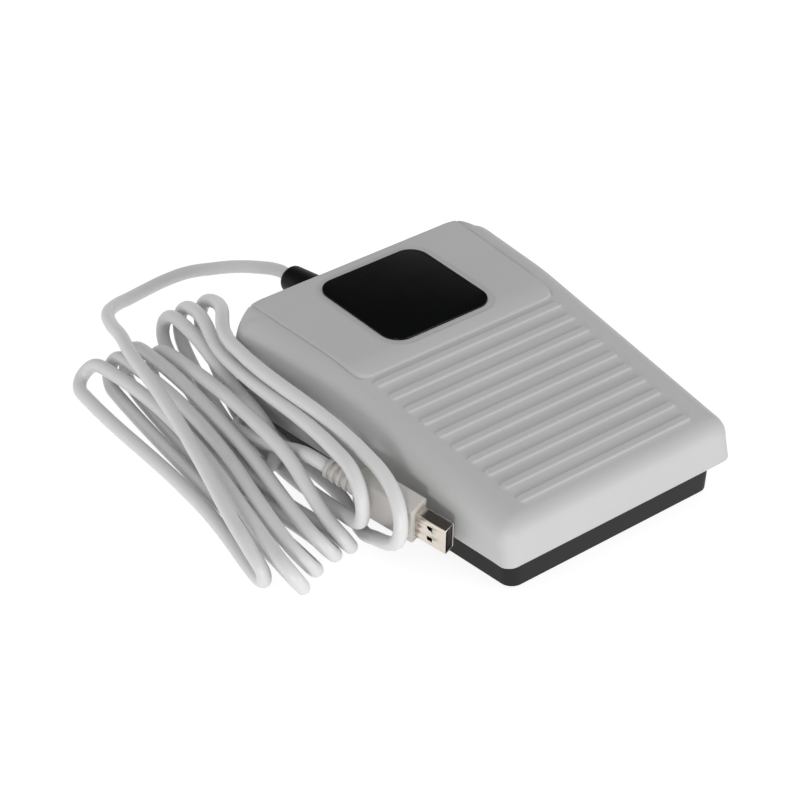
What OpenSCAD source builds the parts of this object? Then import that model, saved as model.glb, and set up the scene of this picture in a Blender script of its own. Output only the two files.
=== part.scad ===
// USB foot pedal switch: a ribbed rocking cover hinged on a base tray, with its cord in a hank beside it.
// The front is at -Y, the cord leaves at +Y, and the rubber feet stand on z = 0.

/* [Pedal cover] */
// Length of the cover, front to back
cover_len = 137; // [130:1:146]
// Width of the cover at the front edge
cover_front_w = 98.2; // [95:0.2:106]
// Width of the cover at the back edge
cover_back_w = 112.4; // [106:0.2:118]
// Height of the cover's lower edge above the floor
cover_edge_z = 12.8; // [12:0.1:14.5]
// Wall thickness of the cover
cover_wall = 2.5; // [2:0.1:3]
// Height of the tread at the front edge
nose_z = 28.5; // [27.5:0.5:30]
// Distance from the back edge to where the tread's slope ends
break_back = 41; // [36:1:46]
// Height where the tread's slope ends
break_z = 42.3; // [41:0.1:43]
// Height of the top at the back edge, under the raised panel
back_z = 44.1; // [43:0.1:46]
// Radius along the front edge of the tread
nose_r = 7.5; // [5:0.5:8]
// Radius of the long shoulders
shoulder_r = 9.4; // [7:0.1:10]
// Radius along the back edge
back_r = 1.5; // [1:0.1:3]
// Radius of the front corners, seen from above
front_corner_r = 6; // [4:0.5:8]
// Radius of the rear corners, seen from above
rear_corner_r = 8; // [6:0.5:10]

/* [Tread ribs] */
// Number of ribs
rib_count = 10; // [6:1:10]
// Spacing of the ribs
rib_pitch = 7.35; // [6:0.05:7.4]
// Radius of a rib's round back
rib_r = 1.8; // [1.4:0.1:2.2]
// Height of a rib above the tread
rib_rise = 1.1; // [0.7:0.1:1.3]
// Distance from a rib's end to the side of the cover
rib_side = 12.8; // [10:0.2:16]
// Distance from the first rib to the rear panel
rib_first = 3.6; // [3:0.1:5]

/* [Rear panel and badge] */
// Length of the raised rear panel
panel_len = 57.5; // [55:0.5:62]
// Rise of the rear panel above the cover
panel_rise = 0.4; // [0.3:0.1:1]
// Distance from the panel's side to the side of the cover
panel_side = 10.8; // [9:0.2:12]
// Corner radius of the panel
panel_r = 5; // [3:0.5:7]
// Width of the badge plate
badge_w = 44.4; // [36:0.2:48]
// Length of the badge plate
badge_len = 43.4; // [36:0.2:46]
// Corner radius of the badge plate
badge_r = 7; // [4:0.5:9]
// Thickness of the badge plate
badge_t = 1.2; // [1:0.1:1.6]
// Height of the badge plate above the panel
badge_proud = 0.4; // [0.2:0.1:0.6]
// Distance from the badge to the back edge
badge_back = 5.6; // [4:0.2:7]
// Width of the shallow frame round the badge
badge_frame = 2.5; // [1.5:0.1:3]

/* [Base tray] */
// Distance of the tray's foot from the cover's sides
base_side = 5.4; // [5:0.1:7]
// Distance of the tray's foot from the cover's ends
base_end = 5.5; // [5.2:0.1:7]
// Draft of the tray's walls, from foot to rim
base_draft = 1; // [0.5:0.1:1.2]
// Wall thickness of the tray
base_wall = 2.5; // [2:0.1:3]
// Floor thickness of the tray
base_floor = 2.5; // [2.2:0.1:3]
// Height of the tray's rim
base_rim_z = 16; // [15:0.5:16.5]
// Corner radius of the tray's foot
base_corner_r = 5; // [4:0.5:7]
// Diameter of a rubber foot
foot_d = 12; // [9:0.5:14]
// Depth of a foot's recess in the tray
foot_recess = 1.2; // [0.8:0.1:1.4]
// How far a foot stands out of the tray
foot_proud = 0.5; // [0.4:0.1:1]

/* [Hinge and stops] */
// Distance of the hinge from the cover's back edge
hinge_back = 11.5; // [10:0.5:13]
// Height of the hinge
hinge_z = 20; // [18:0.5:22]
// Diameter of a hinge pin
pin_d = 4; // [3:0.5:5]
// Distance of the hinge posts from the middle
hinge_x = 34; // [32:0.5:37]
// Width of a hinge post on the tray
post_w = 10; // [8:0.5:11]
// Thickness of a hinge lug under the cover
lug_t = 4; // [3:0.5:4.5]
// Wall round the hinge pin
lug_ring = 2.5; // [2:0.5:3]
// Travel of the pedal in degrees
pedal_travel = 3; // [2:0.1:3]
// Diameter of a bump stop
bump_d = 8; // [6:0.5:9]
// Distance of the bump stops from the middle
bump_x = 37; // [34:0.5:38]
// Distance of the bump stops from the front edge
bump_front = 22; // [20:0.5:26]

/* [Return springs] */
// Outer diameter of a spring
spring_d = 10; // [9:0.5:12]
// Wire diameter of a spring
spring_wire = 1.1; // [0.8:0.1:1.4]
// Turns of a spring
spring_turns = 6; // [5:1:8]
// Distance of the springs from the middle
spring_x = 22; // [20:0.5:24]
// Distance of the springs from the front edge
spring_front = 34; // [32:0.5:38]
// Height of the spring seat under the cover
spring_top_z = 22; // [20:0.5:23]

/* [Switch] */
// Length of the switch case
switch_len = 20; // [19:0.5:21]
// Thickness of the switch case
switch_t = 6.4; // [6:0.1:7]
// Height of the switch case
switch_h = 10; // [9:0.5:10.5]
// Height of the switch case's underside
switch_z = 10; // [9:0.5:10.5]
// Distance of the switch from the front edge
switch_front = 46.5; // [44:0.5:48]
// Spacing of the switch's screw holes
switch_pitch = 9.5; // [8.5:0.1:10.5]
// Screw diameter of the switch
switch_screw_d = 2.2; // [1.8:0.1:2.4]
// Length of the switch lever
lever_len = 17; // [16:0.5:18]
// Angle of the switch lever at rest
lever_rest = 14; // [13:0.5:15]
// Thickness of the switch lever
lever_t = 0.5; // [0.4:0.1:0.6]

/* [Encoder board] */
// Width of the board
board_w = 40; // [36:1:44]
// Length of the board
board_len = 30; // [28:1:32]
// Thickness of the board
board_t = 1.6; // [1.2:0.1:2]
// Height of the board above the tray's floor
board_lift = 5; // [4:0.5:6]
// Distance from the board's front edge to the switch
board_gap = 8; // [7:0.5:10]
// Diameter of the board's screws
board_screw_d = 2.4; // [2:0.1:2.6]
// Distance of the board's screws from its edges
board_screw_in = 3.5; // [3:0.1:4]

/* [Cord and gland] */
// Diameter of the cord
cord_d = 4.8; // [4.2:0.1:4.8]
// Length of the gland's sleeve behind the cover
gland_len = 37.5; // [30:0.5:45]
// Radius of the gland's sleeve at the cover
gland_root_r = 9.2; // [8:0.1:9.5]
// Radius of the gland's sleeve at its tip
gland_tip_r = 5.2; // [4.6:0.1:5.6]
// Turns of the hank
hank_turns = 7; // [4:1:7]
// Diameter of a core inside the cord
core_d = 1; // [0.8:0.1:1.1]

/* [Plug] */
// Width of the plug's metal shell
shell_w = 12; // [11.8:0.1:12.2]
// Thickness of the plug's metal shell
shell_t = 4.5; // [4.4:0.1:4.7]
// Length of the shell outside the moulding
shell_len = 11.75; // [11:0.25:12.5]
// Sheet thickness of the shell
shell_sheet = 0.35; // [0.3:0.05:0.4]
// Width of the plug's moulding
mould_w = 16; // [15:0.5:17]
// Thickness of the plug's moulding
mould_t = 8; // [7.5:0.25:8.5]
// Length of the plug's moulding
mould_len = 24.25; // [20:0.25:26]
// Length of the ribbed sleeve behind the moulding
relief_len = 12; // [9:0.5:14]
// Rings on the ribbed sleeve
relief_rings = 4; // [3:1:5]

/* [Hidden] */
$fn = 48;
hull_fn = 32;
eps = 0.01;
ball_least_r = 0.3;

// Named clearances
fit_gap = 0.05;
run_gap = 0.4;
slide_gap = 0.2;
touch_gap = 0.4;

// Ends of the cover, and its half width at any place along it
front_y = -cover_len / 2;
back_y = cover_len / 2;
function half_w(y) = (cover_front_w + (cover_back_w - cover_front_w) * (y - front_y) / cover_len) / 2;

// The tread's plane runs from the nose to the break, and the rear plane from the break to the back edge.
// The rear panel lies on the rear plane and stands out over the tread.
break_y = back_y - break_back;
panel_y = back_y - panel_len;
nose_y = front_y + nose_r;
tread_slope = (break_z - nose_z) / (break_y - nose_y);
rear_slope = (back_z - break_z) / break_back;
function tread_z(y) = break_z + (y - break_y) * tread_slope;
rear_tilt = atan(rear_slope);

// Tray
tray_z = foot_proud;
floor_z = tray_z + base_floor;
tray_front_y = front_y + base_end;
tray_back_y = back_y - base_end;

// Hinge, and how far a point in front of it sinks at full travel
hinge_y = back_y - hinge_back;
lug_r = pin_d / 2 + lug_ring;
function sink(y) = (hinge_y - y) * sin(pedal_travel);

// Stops: a hook under the cover's front holds it at rest, and rubber bumps stop it at full travel
ledge_t = 2.5;
ledge_reach = 4;
ledge_w = 14;
ledge_z = base_rim_z - 1 - ledge_t;
hook_x = 30;
hook_w = 10;
hook_t = 2.5;
hook_rest_gap = 0.6;
hook_leg_y = tray_front_y + base_wall + ledge_reach + 0.8;
hook_foot_y = tray_front_y + base_wall + 1;
bump_y = front_y + bump_front;
bump_seat = 3;
bump_pad_z = 17;
bump_top_z = bump_pad_z - sink(bump_y) - run_gap;

// Springs
spring_y = front_y + spring_front;
spring_mean_r = (spring_d - spring_wire) / 2;
spring_peg_r = spring_mean_r - spring_wire / 2 - 0.9;
spring_peg_h = 4;
spring_bottom_z = floor_z;

// Switch: its long side runs front to back, and it is screwed to an upright bracket on its right
switch_y0 = front_y + switch_front;
switch_y1 = switch_y0 + switch_len;
switch_top = switch_z + switch_h;
switch_hole_z = switch_z + 3;
bracket_t = 3;
lever_w = 3.6;
lever_barrel_r = 0.7;
lever_y = switch_y0 + 1.5;
lever_z = switch_top + lever_barrel_r + slide_gap;
plunger_y = lever_y + 5;
plunger_len = 1.8;
plunger_w = 3;
plunger_h = 3.8;
plunger_travel = 0.95;
plunger_front_rise = (plunger_y - plunger_len / 2 - lever_y) * tan(lever_rest);
plunger_top = lever_z + plunger_front_rise - slide_gap;
terminal_h = 4.5;
terminal_t = 0.5;
terminal_len = 2.5;
terminal_y = [switch_y0 + 2.4, switch_y0 + 9.9, switch_y0 + switch_len - 2.4];
striker_r = 2;
striker_w = 6;
striker_y = lever_y + (lever_len - 1.8) * cos(lever_rest);
striker_z = lever_z + (striker_y - lever_y) * tan(lever_rest) + lever_t / cos(lever_rest) + touch_gap + striker_r;

// Board
board_y0 = switch_y1 + board_gap;
board_y1 = board_y0 + board_len;
board_z = floor_z + board_lift;
board_top = board_z + board_t;
board_screw_x = board_w / 2 - board_screw_in;
board_screw_y = [board_y0 + board_screw_in, board_y1 - board_screw_in];
standoff_r = board_screw_d / 2 + 1.6;
pilot_depth = 4;
header_w = 11;
header_len = 5;
header_h = 6.5;
header_x = 5;
header_y = board_y1 - 7;

// Gland and the cord through it
cord_r = cord_d / 2;
cord_z = hinge_z;
gland_bore_r = cord_r + fit_gap;
tower_y0 = tray_back_y - base_wall;
tower_y1 = tray_back_y + base_draft;
tower_half_w = gland_root_r + 3.8;
gland_neck_r = 6;
gland_flange_r = gland_root_r + 0.4;
gland_flange_t = 2.5;
gland_collar_y = back_y;
gland_end_y = back_y + gland_len;
gland_round = 2;
notch_half_w = gland_flange_r + 1.5;
clamp_len = 7;
clamp_y1 = tower_y0 - gland_flange_t - 2;
clamp_y0 = clamp_y1 - clamp_len;
clamp_t = 2.2;
clamp_screw_x = cord_r + 4.6;
clamp_half_w = clamp_screw_x + 3.4;
clamp_screw_d = 2.4;
cord_inner_y = clamp_y0 - 3;

// Plug: where the tip's middle lies, and how it is turned, tipped down and leant over
plug_tip = [-54.7, -47, 15.7];
plug_turn = 15;
plug_tip_down = 10;
plug_lean = 13;
shell_hidden = 4;
mould_back_y = shell_len + mould_len;
relief_end_y = mould_back_y + relief_len;

// Cord routes in mm, points chosen by hand. The lead goes from the gland, over the hank, to its first loop.
lead_points = [
    [0, gland_end_y, cord_z], [0, gland_end_y + 6, cord_z], [-2, 121, 18], [-5, 133, 14], [-9, 143, 10],
    [-15, 149, 8], [-23, 151, 7], [-33, 150, 7], [-43, 146, 9], [-52, 141, 12], [-60, 134, 15], [-66, 123, 18],
    [-70, 111, 20.5], [-75, 97, 21.5], [-79.5, 78, 21], [-85, 57, 20], [-90, 40, 19], [-94.5, 25, 17.5],
    [-100.8, 5, 15.5]
];
// The tail goes from the last fold, round under the hank, to the plug's ribbed sleeve
tail_points = [
    [-60, -6, cord_r], [-55, 8, cord_r], [-53.4, 22, 2.5], [-53.4, 34, 4.5], [-54.8, 45.5, 8], [-56.9, 51, 9.2],
    [-61, 53.3, 10.3], [-65.1, 51, 11.5], [-67, 45.5, 12.8], [-67.7, 34, 16], [-67.2, 23, 19], [-67.4, 13, 22.5]
];
// Hank: one row for each fold, with the place of its end, half its height, and how far it leans to the side
near_folds = [
    [-105, -17, 8.3, 6.2, 1], [-99, -27.5, 8.3, 6.2, 3], [-91, -23, 8.3, 6.2, 4], [-81.5, -20.5, 8.3, 6.2, 4],
    [-74.5, -20.5, 8.5, 6.2, 3], [-65.2, 30, 9.3, 6.2, -2], [-72.5, -26, 23, 12, 0], [-67.5, -38.5, 20, 15, -1]
];
far_folds = [
    [-81, 119, 5.5, 6, -4], [-73, 114, 8, 6.2, -2.5], [-66.6, 113, 9.5, 7, -2.7], [-60.5, 106, 9.5, 6.5, -2.5],
    [-51.6, 112, 16.7, 8, -1.6], [-45.5, 110.5, 18, 11, -1.5], [-39.5, 106, 20.5, 12, -1.5]
];
// Each loop also passes one place on the floor and one on its upper side
lower_mids = [
    [-93, 35, cord_r], [-87.5, 35, cord_r], [-82, 35, cord_r], [-76.5, 35, cord_r], [-71, 36, cord_r],
    [-62.2, 53, cord_r], [-56.7, 52, cord_r]
];
upper_mids = [
    [-80, 60, 10.8], [-75.6, 55, 13.8], [-71.8, 45, 15.6], [-72.8, 18, 25.5],
    [-59.2, 60, 21], [-59, 64, 30], [-58.8, 60, 37]
];
fold_reach = 1.2;
fold_rise = 0.9;
hank_steps = 3;
hank_sides = 6;
cord_sides = 8;
core_sides = 6;
lead_steps = 2;
fold_fullness = 1.17;

// Curves: a smooth curve through points, with tangents scaled to each stretch
function unit(v) = v / norm(v);
function mix(a, b, t) = a + (b - a) * t;
function curve(a, b, ta, tb, t) =
    let (reach = norm(b - a) * fold_fullness)
    a * (1 + 2 * t) * (1 - t) ^ 2 + ta * reach * t * (1 - t) ^ 2
    + b * t ^ 2 * (3 - 2 * t) - tb * reach * t ^ 2 * (1 - t);
function heading(points, i) = unit(points[min(i + 1, len(points) - 1)] - points[max(i - 1, 0)]);
function smooth(points, steps, first, last) =
    let (n = len(points) - 1)
    let (dirs = [for (i = [0:n]) i == 0 ? first : i == n ? last : heading(points, i)])
    concat(
        [for (i = [0:n - 1]) for (s = [0:steps - 1])
            curve(points[i], points[i + 1], dirs[i], dirs[i + 1], s / steps)],
        [points[n]]
    );

// Hank: a fold passes an upper place, its end and a lower place, and a loop goes out low and comes back high.
// With fewer turns the first loops are left out.
last_loop = len(far_folds);
first_loop = last_loop - hank_turns;
function on_floor(p) = [p.x, p.y, max(p.z, cord_r)];
function fold_end(fold) = [fold[0], fold[1], fold[2]];
function loop_way(i) =
    let (way = fold_end(far_folds[min(i, last_loop - 1)]) - fold_end(near_folds[i])) unit([way.x, way.y, 0]);
function fold_places(fold, way, toward) =
    let (half_h = fold[3], lean = fold[4] * [way.y, -way.x, 0], rise = [0, 0, fold_rise * half_h])
    let (back = fold_end(fold) + toward * fold_reach * half_h * way)
    [back - lean + rise, fold_end(fold), on_floor(back + lean - rise)];
function loop_places(i) =
    let (way = loop_way(i), near = fold_places(near_folds[i], way, 1))
    i == last_loop ? near :
    let (far = fold_places(far_folds[i], way, -1))
    concat(near, [lower_mids[i], far[2], far[1], far[0], upper_mids[i]]);
hank_points = [for (i = [first_loop:last_loop]) each loop_places(i)];
hank_start = hank_points[0];
hank_stop = hank_points[len(hank_points) - 1];
hank_in = unit(hank_points[1] - lead_points[len(lead_points) - 1]);
hank_out = unit(tail_points[0] - hank_points[len(hank_points) - 2]);
function hank_path(steps) = [for (p = smooth(hank_points, steps, hank_in, hank_out)) on_floor(p)];
function least_gap(path, skip) = min([
    for (i = [0:len(path) - 1 - skip]) min([for (j = [i + skip:len(path) - 1]) norm(path[i] - path[j])])
]) - cord_d;

// Tubes: rings carried along a path without twist
function aside(v) = unit(cross(v, abs(v.z) < 0.9 ? [0, 0, 1] : [1, 0, 0]));
function flat_to(n, t) = unit(n - (n * t) * t);
function ring_sides(dirs) = [
    for (i = 0, n = aside(dirs[0]); i < len(dirs);
        i = i + 1, n = i < len(dirs) ? flat_to(n, dirs[i]) : n) n
];

module tube(path, r, sides, first = undef, last = undef) {
    end = len(path) - 1;
    dirs = [for (i = [0:end])
        i == 0 && first != undef ? first : i == end && last != undef ? last : heading(path, i)];
    side = ring_sides(dirs);
    points = [for (i = [0:end]) for (j = [0:sides - 1])
        let (a = 360 * j / sides)
        path[i] + r * (cos(a) * side[i] + sin(a) * cross(dirs[i], side[i]))];
    top = end * sides;
    walls = [for (i = [0:end - 1]) for (j = [0:sides - 1])
        let (a = i * sides + j, b = i * sides + (j + 1) % sides)
        each [[a, a + sides, b + sides], [a, b + sides, b]]];
    caps = [for (j = [1:sides - 2]) each [[0, j, j + 1], [top, top + j + 1, top + j]]];
    polyhedron(points = points, faces = concat(walls, caps));
}

// Shapes shared by several pieces
module rod_x(r, x0, x1) {
    translate([x0, 0, 0]) rotate([0, 90, 0]) cylinder(r = r, h = x1 - x0);
}

module rod_y(r, y0, y1) {
    translate([0, y0, 0]) rotate([-90, 0, 0]) cylinder(r = r, h = y1 - y0);
}

module block(low, high) {
    translate(low) cube(high - low);
}

module rounded_plate(w, l, t, r) {
    hull()
        for (x = [-1, 1]) for (y = [-1, 1])
            translate([x * (w / 2 - r), y * (l / 2 - r), 0]) cylinder(r = r, h = t, $fn = hull_fn);
}

module pan_screw(d, length, head_r, head_h) {
    translate([0, 0, -length]) cylinder(d = d, h = length);
    cylinder(r = head_r, h = head_h);
}

// A ball of the cover's shape that touches the faces x and z, drawn in by inset
module corner_ball(x, y, z, r, inset) {
    ball_r = max(r - inset, ball_least_r);
    back = ball_r + inset;
    for (side = [-1, 1]) translate([side * (x - back), y, z - back]) sphere(r = ball_r, $fn = hull_fn);
}

// The cover's solid shape, drawn in by inset on every side
module cover_form(inset, low_z) {
    back_in = max(back_r - inset, ball_least_r) + inset;
    hull() {
        for (side = [-1, 1]) {
            translate([side * (half_w(front_y) - front_corner_r), front_y + front_corner_r, low_z])
                cylinder(r = front_corner_r - inset, h = eps, $fn = hull_fn);
            translate([side * (half_w(back_y) - rear_corner_r), back_y - rear_corner_r, low_z])
                cylinder(r = rear_corner_r - inset, h = eps, $fn = hull_fn);
        }
        corner_ball(half_w(front_y), front_y + nose_r, nose_z, nose_r, inset);
        corner_ball(half_w(break_y), break_y, break_z, shoulder_r, inset);
        corner_ball(half_w(back_y), back_y - shoulder_r, back_z, shoulder_r, inset);
        corner_ball(half_w(back_y) - shoulder_r, back_y - back_in, back_z, back_r, inset);
    }
}

// Lies flat on the rear plane, with z = 0 on the cover and y = 0 at the back edge
module on_rear_plane() {
    translate([0, back_y, back_z]) rotate([rear_tilt, 0, 0]) children();
}

panel_chamfer = 0.6;
panel_sink = 4;
panel_end = 1.2;
badge_mid = -badge_back - badge_len / 2;

module rear_panel() {
    ends = [[half_w(panel_y) - panel_side, panel_r - panel_len],
        [half_w(back_y) - panel_side, -panel_r - panel_end]];
    on_rear_plane() hull() for (side = [-1, 1]) for (e = ends)
        translate([side * (e[0] - panel_r), e[1], -panel_sink]) {
            cylinder(r = panel_r, h = panel_sink + panel_rise - panel_chamfer, $fn = hull_fn);
            cylinder(r = panel_r - panel_chamfer, h = panel_sink + panel_rise, $fn = hull_fn);
        }
}

module ribs() {
    for (i = [0:rib_count - 1]) {
        y = panel_y - rib_first - i * rib_pitch;
        x = half_w(y) - rib_side;
        translate([0, y, tread_z(y) + rib_rise - rib_r]) {
            rod_x(rib_r, -x, x);
            for (side = [-1, 1]) translate([side * x, 0, 0]) sphere(r = rib_r);
        }
    }
}

// Posts that hang from the cover's roof: hinge lugs, hooks, spring seats, stop pads and the striker
module hanging_posts() {
    top = back_z;
    for (side = [-1, 1]) {
        for (inner = [0, 1]) {
            x = side * (hinge_x + (inner == 0 ? 1 : -1) * (post_w / 2 + run_gap + lug_t / 2)) - lug_t / 2;
            translate([x, hinge_y - lug_r, hinge_z]) cube([lug_t, 2 * lug_r, top - hinge_z]);
            translate([x, hinge_y, hinge_z]) rod_x(lug_r, 0, lug_t);
        }
        hook_low = ledge_z - hook_rest_gap - hook_t;
        translate([side * hook_x - hook_w / 2, hook_leg_y, hook_low]) cube([hook_w, hook_t, top - hook_low]);
        translate([side * hook_x - hook_w / 2, hook_foot_y, hook_low])
            cube([hook_w, hook_leg_y - hook_foot_y + eps, hook_t]);
        translate([side * spring_x, spring_y, spring_top_z]) cylinder(d = spring_d + 1, h = top - spring_top_z);
        translate([side * spring_x, spring_y, spring_top_z - spring_peg_h])
            cylinder(r = spring_peg_r, h = spring_peg_h + eps);
        translate([side * bump_x, bump_y, bump_pad_z]) cylinder(d = bump_d, h = top - bump_pad_z);
    }
    translate([-striker_w / 2, striker_y - striker_r, striker_z]) cube([striker_w, 2 * striker_r, top - striker_z]);
    translate([0, striker_y, striker_z]) rod_x(striker_r, -striker_w / 2, striker_w / 2);
}

module pedal_cover() {
    pocket_w = badge_w + 2 * fit_gap;
    pocket_len = badge_len + 2 * fit_gap;
    color("#A9ACAA") difference() {
        union() {
            difference() {
                union() {
                    cover_form(0, cover_edge_z);
                    rear_panel();
                    ribs();
                }
                cover_form(cover_wall, cover_edge_z - 1);
            }
            intersection() {
                cover_form(cover_wall / 2, 0);
                hanging_posts();
            }
        }
        for (side = [-1, 1])
            translate([side * hinge_x, hinge_y, hinge_z])
                rod_x(pin_d / 2 + fit_gap, -post_w / 2 - run_gap - lug_t - 1, post_w / 2 + run_gap + lug_t + 1);
        translate([-notch_half_w, tray_back_y, 0]) cube([2 * notch_half_w, back_y, cord_z]);
        translate([0, 0, cord_z]) rod_y(notch_half_w, tray_back_y, back_y + 1);
        on_rear_plane() translate([0, badge_mid, panel_rise + badge_proud - badge_t])
            rounded_plate(pocket_w, pocket_len, badge_t + 1, badge_r + fit_gap);
        on_rear_plane() translate([0, badge_mid, panel_rise - 0.3])
            rounded_plate(badge_w + 2 * badge_frame, badge_len + 2 * badge_frame, 1, badge_r + badge_frame);
    }
}

module badge_plate() {
    color("#101111") on_rear_plane() translate([0, badge_mid, panel_rise + badge_proud - badge_t])
        rounded_plate(badge_w, badge_len, badge_t, badge_r);
}

// The tray's solid shape between two heights, drawn in by inset, with its drafted walls
module tray_form(inset, z0, z1) {
    grow = base_draft / (base_rim_z - tray_z);
    hull() for (side = [-1, 1]) for (y = [tray_front_y + base_corner_r, tray_back_y - base_corner_r])
        translate([side * (half_w(y) - base_side - base_corner_r), y, z0])
            cylinder(r1 = base_corner_r + grow * (z0 - tray_z) - inset,
                r2 = base_corner_r + grow * (z1 - tray_z) - inset, h = z1 - z0, $fn = hull_fn);
}

foot_y = [tray_front_y + base_corner_r + foot_d / 2, tray_back_y - base_corner_r - foot_d / 2];
function foot_x(y) = half_w(y) - base_side - base_wall - foot_d / 2 - 2;

module tray_features() {
    for (side = [-1, 1]) {
        translate([side * hinge_x - post_w / 2, hinge_y - lug_r, floor_z - eps])
            cube([post_w, 2 * lug_r, hinge_z - floor_z + eps]);
        translate([side * hinge_x, hinge_y, hinge_z]) rod_x(lug_r, -post_w / 2, post_w / 2);
        translate([side * hook_x - ledge_w / 2, tray_front_y + base_wall - 1, ledge_z])
            cube([ledge_w, ledge_reach + 1, ledge_t]);
        translate([side * spring_x, spring_y, floor_z - eps]) cylinder(r = spring_peg_r, h = spring_peg_h);
        translate([side * bump_x, bump_y, floor_z - eps]) cylinder(d = bump_d + 3, h = bump_seat);
        for (y = board_screw_y)
            translate([side * board_screw_x, y, floor_z - eps]) cylinder(r = standoff_r, h = board_lift + eps);
    }
    bracket_x = switch_t / 2;
    block([bracket_x, switch_y0, floor_z - eps], [bracket_x + bracket_t, switch_y1, switch_top - 1]);
    block([-tower_half_w, tower_y0, floor_z - eps], [tower_half_w, tower_y1, cord_z]);
    translate([0, 0, cord_z]) rod_y(tower_half_w, tower_y0, tower_y1);
    block([-clamp_half_w, clamp_y0, floor_z - eps], [clamp_half_w, clamp_y1, cord_z - cord_r - fit_gap]);
}

module base_tray() {
    color("#3A3A3A") difference() {
        union() {
            difference() {
                tray_form(0, tray_z, base_rim_z);
                tray_form(base_wall, floor_z, base_rim_z + 1);
            }
            tray_features();
        }
        for (side = [-1, 1]) {
            for (y = foot_y)
                translate([side * foot_x(y), y, tray_z - 1]) cylinder(d = foot_d + 2 * fit_gap, h = foot_recess + 1);
            translate([side * hinge_x, hinge_y, hinge_z])
                rod_x(pin_d / 2 + fit_gap, -post_w / 2 - 1, post_w / 2 + 1);
            for (y = board_screw_y)
                translate([side * board_screw_x, y, board_z - pilot_depth])
                    cylinder(d = board_screw_d + 2 * fit_gap, h = pilot_depth + 1);
            translate([side * clamp_screw_x, (clamp_y0 + clamp_y1) / 2, cord_z - cord_r - 7])
                cylinder(d = clamp_screw_d + 2 * fit_gap, h = 8);
            translate([0, switch_y0 + switch_len / 2 + side * switch_pitch / 2, switch_hole_z])
                rod_x(switch_screw_d / 2 + fit_gap, 0, switch_t / 2 + bracket_t + 1);
        }
        translate([0, 0, cord_z]) rod_y(gland_neck_r + fit_gap, tower_y0 - 1, tower_y1 + 1);
    }
}

module rubber_feet() {
    color("#1E1E1E") for (side = [-1, 1]) for (y = foot_y)
        translate([side * foot_x(y), y, 0]) {
            cylinder(d1 = foot_d - 1, d2 = foot_d, h = foot_proud);
            translate([0, 0, foot_proud]) cylinder(d = foot_d, h = foot_recess);
        }
}

module hinge_pins() {
    reach = post_w / 2 + run_gap + lug_t;
    color("silver") for (side = [-1, 1])
        translate([side * hinge_x, hinge_y, hinge_z]) rod_x(pin_d / 2, -reach, reach);
}

// A spring is one wire: a flat turn at each end and open turns between
function spring_path() =
    let (low = spring_bottom_z + spring_wire / 2 + fit_gap, high = spring_top_z - spring_wire / 2 - fit_gap)
    let (end = spring_wire * 1.15, open = high - low - 2 * end, n = spring_turns + 2)
    [for (i = [0:8 * n])
        let (t = i / 8, a = 360 * t)
        let (z = t < 1 ? end * t : t > n - 1 ? high - low - end * (n - t) : end + open * (t - 1) / spring_turns)
        [spring_mean_r * cos(a), spring_mean_r * sin(a), low + z]];

module return_springs() {
    color("silver") for (side = [-1, 1])
        translate([side * spring_x, spring_y, 0]) tube(spring_path(), spring_wire / 2, core_sides);
}

module bump_stops() {
    color("#262626") for (side = [-1, 1])
        translate([side * bump_x, bump_y, floor_z + bump_seat - eps])
            cylinder(d = bump_d, h = bump_top_z - floor_z - bump_seat + eps);
}

module switch_case() {
    slot = slide_gap;
    color("#1B1B1D") difference() {
        block([-switch_t / 2, switch_y0, switch_z], [switch_t / 2, switch_y1, switch_top]);
        for (side = [-1, 1])
            translate([0, switch_y0 + switch_len / 2 + side * switch_pitch / 2, switch_hole_z])
                rod_x(switch_screw_d / 2 + fit_gap, -switch_t, switch_t);
        block([-plunger_w / 2 - slot, plunger_y - plunger_len / 2 - slot, plunger_top - plunger_h - plunger_travel - slot],
            [plunger_w / 2 + slot, plunger_y + plunger_len / 2 + slot, switch_top + 1]);
    }
}

module switch_plunger() {
    color("#B03028")
        block([-plunger_w / 2, plunger_y - plunger_len / 2, plunger_top - plunger_h],
            [plunger_w / 2, plunger_y + plunger_len / 2, plunger_top]);
}

module switch_lever() {
    color("silver") translate([0, lever_y, lever_z]) {
        rod_x(lever_barrel_r, -lever_w / 2, lever_w / 2);
        rotate([lever_rest, 0, 0]) translate([-lever_w / 2, 0, 0]) cube([lever_w, lever_len, lever_t]);
    }
}

module switch_terminals() {
    color("#C8B878") for (y = terminal_y)
        block([-terminal_t / 2, y - terminal_len / 2, switch_z - terminal_h],
            [terminal_t / 2, y + terminal_len / 2, switch_z]);
}

module switch_screws() {
    color("silver") for (side = [-1, 1])
        translate([-switch_t / 2, switch_y0 + switch_len / 2 + side * switch_pitch / 2, switch_hole_z])
            rotate([0, -90, 0]) pan_screw(switch_screw_d, switch_t + bracket_t, switch_screw_d * 0.9, 1.4);
}

module encoder_board() {
    color("#1F5A38") difference() {
        block([-board_w / 2, board_y0, board_z], [board_w / 2, board_y1, board_top]);
        for (side = [-1, 1]) for (y = board_screw_y)
            translate([side * board_screw_x, y, board_z - 1])
                cylinder(d = board_screw_d + 2 * fit_gap, h = board_t + 2);
    }
}

chip_size = 7;
chip_from_front = 13;
chip_at = [-7, board_y0 + chip_from_front, board_top];

module encoder_chip() {
    color("#151515") translate(chip_at) {
        translate([-chip_size / 2, -chip_size / 2, 0]) cube([chip_size, chip_size, 1.5]);
        for (turn = [0:90:270]) rotate([0, 0, turn]) for (i = [-3:3])
            translate([i * 0.8 - 0.15, chip_size / 2 - eps, 0]) cube([0.3, 1 + eps, 0.25]);
    }
}

crystal_r = 1.9;
crystal_len = 10.8;
crystal_flat = 7;

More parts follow.
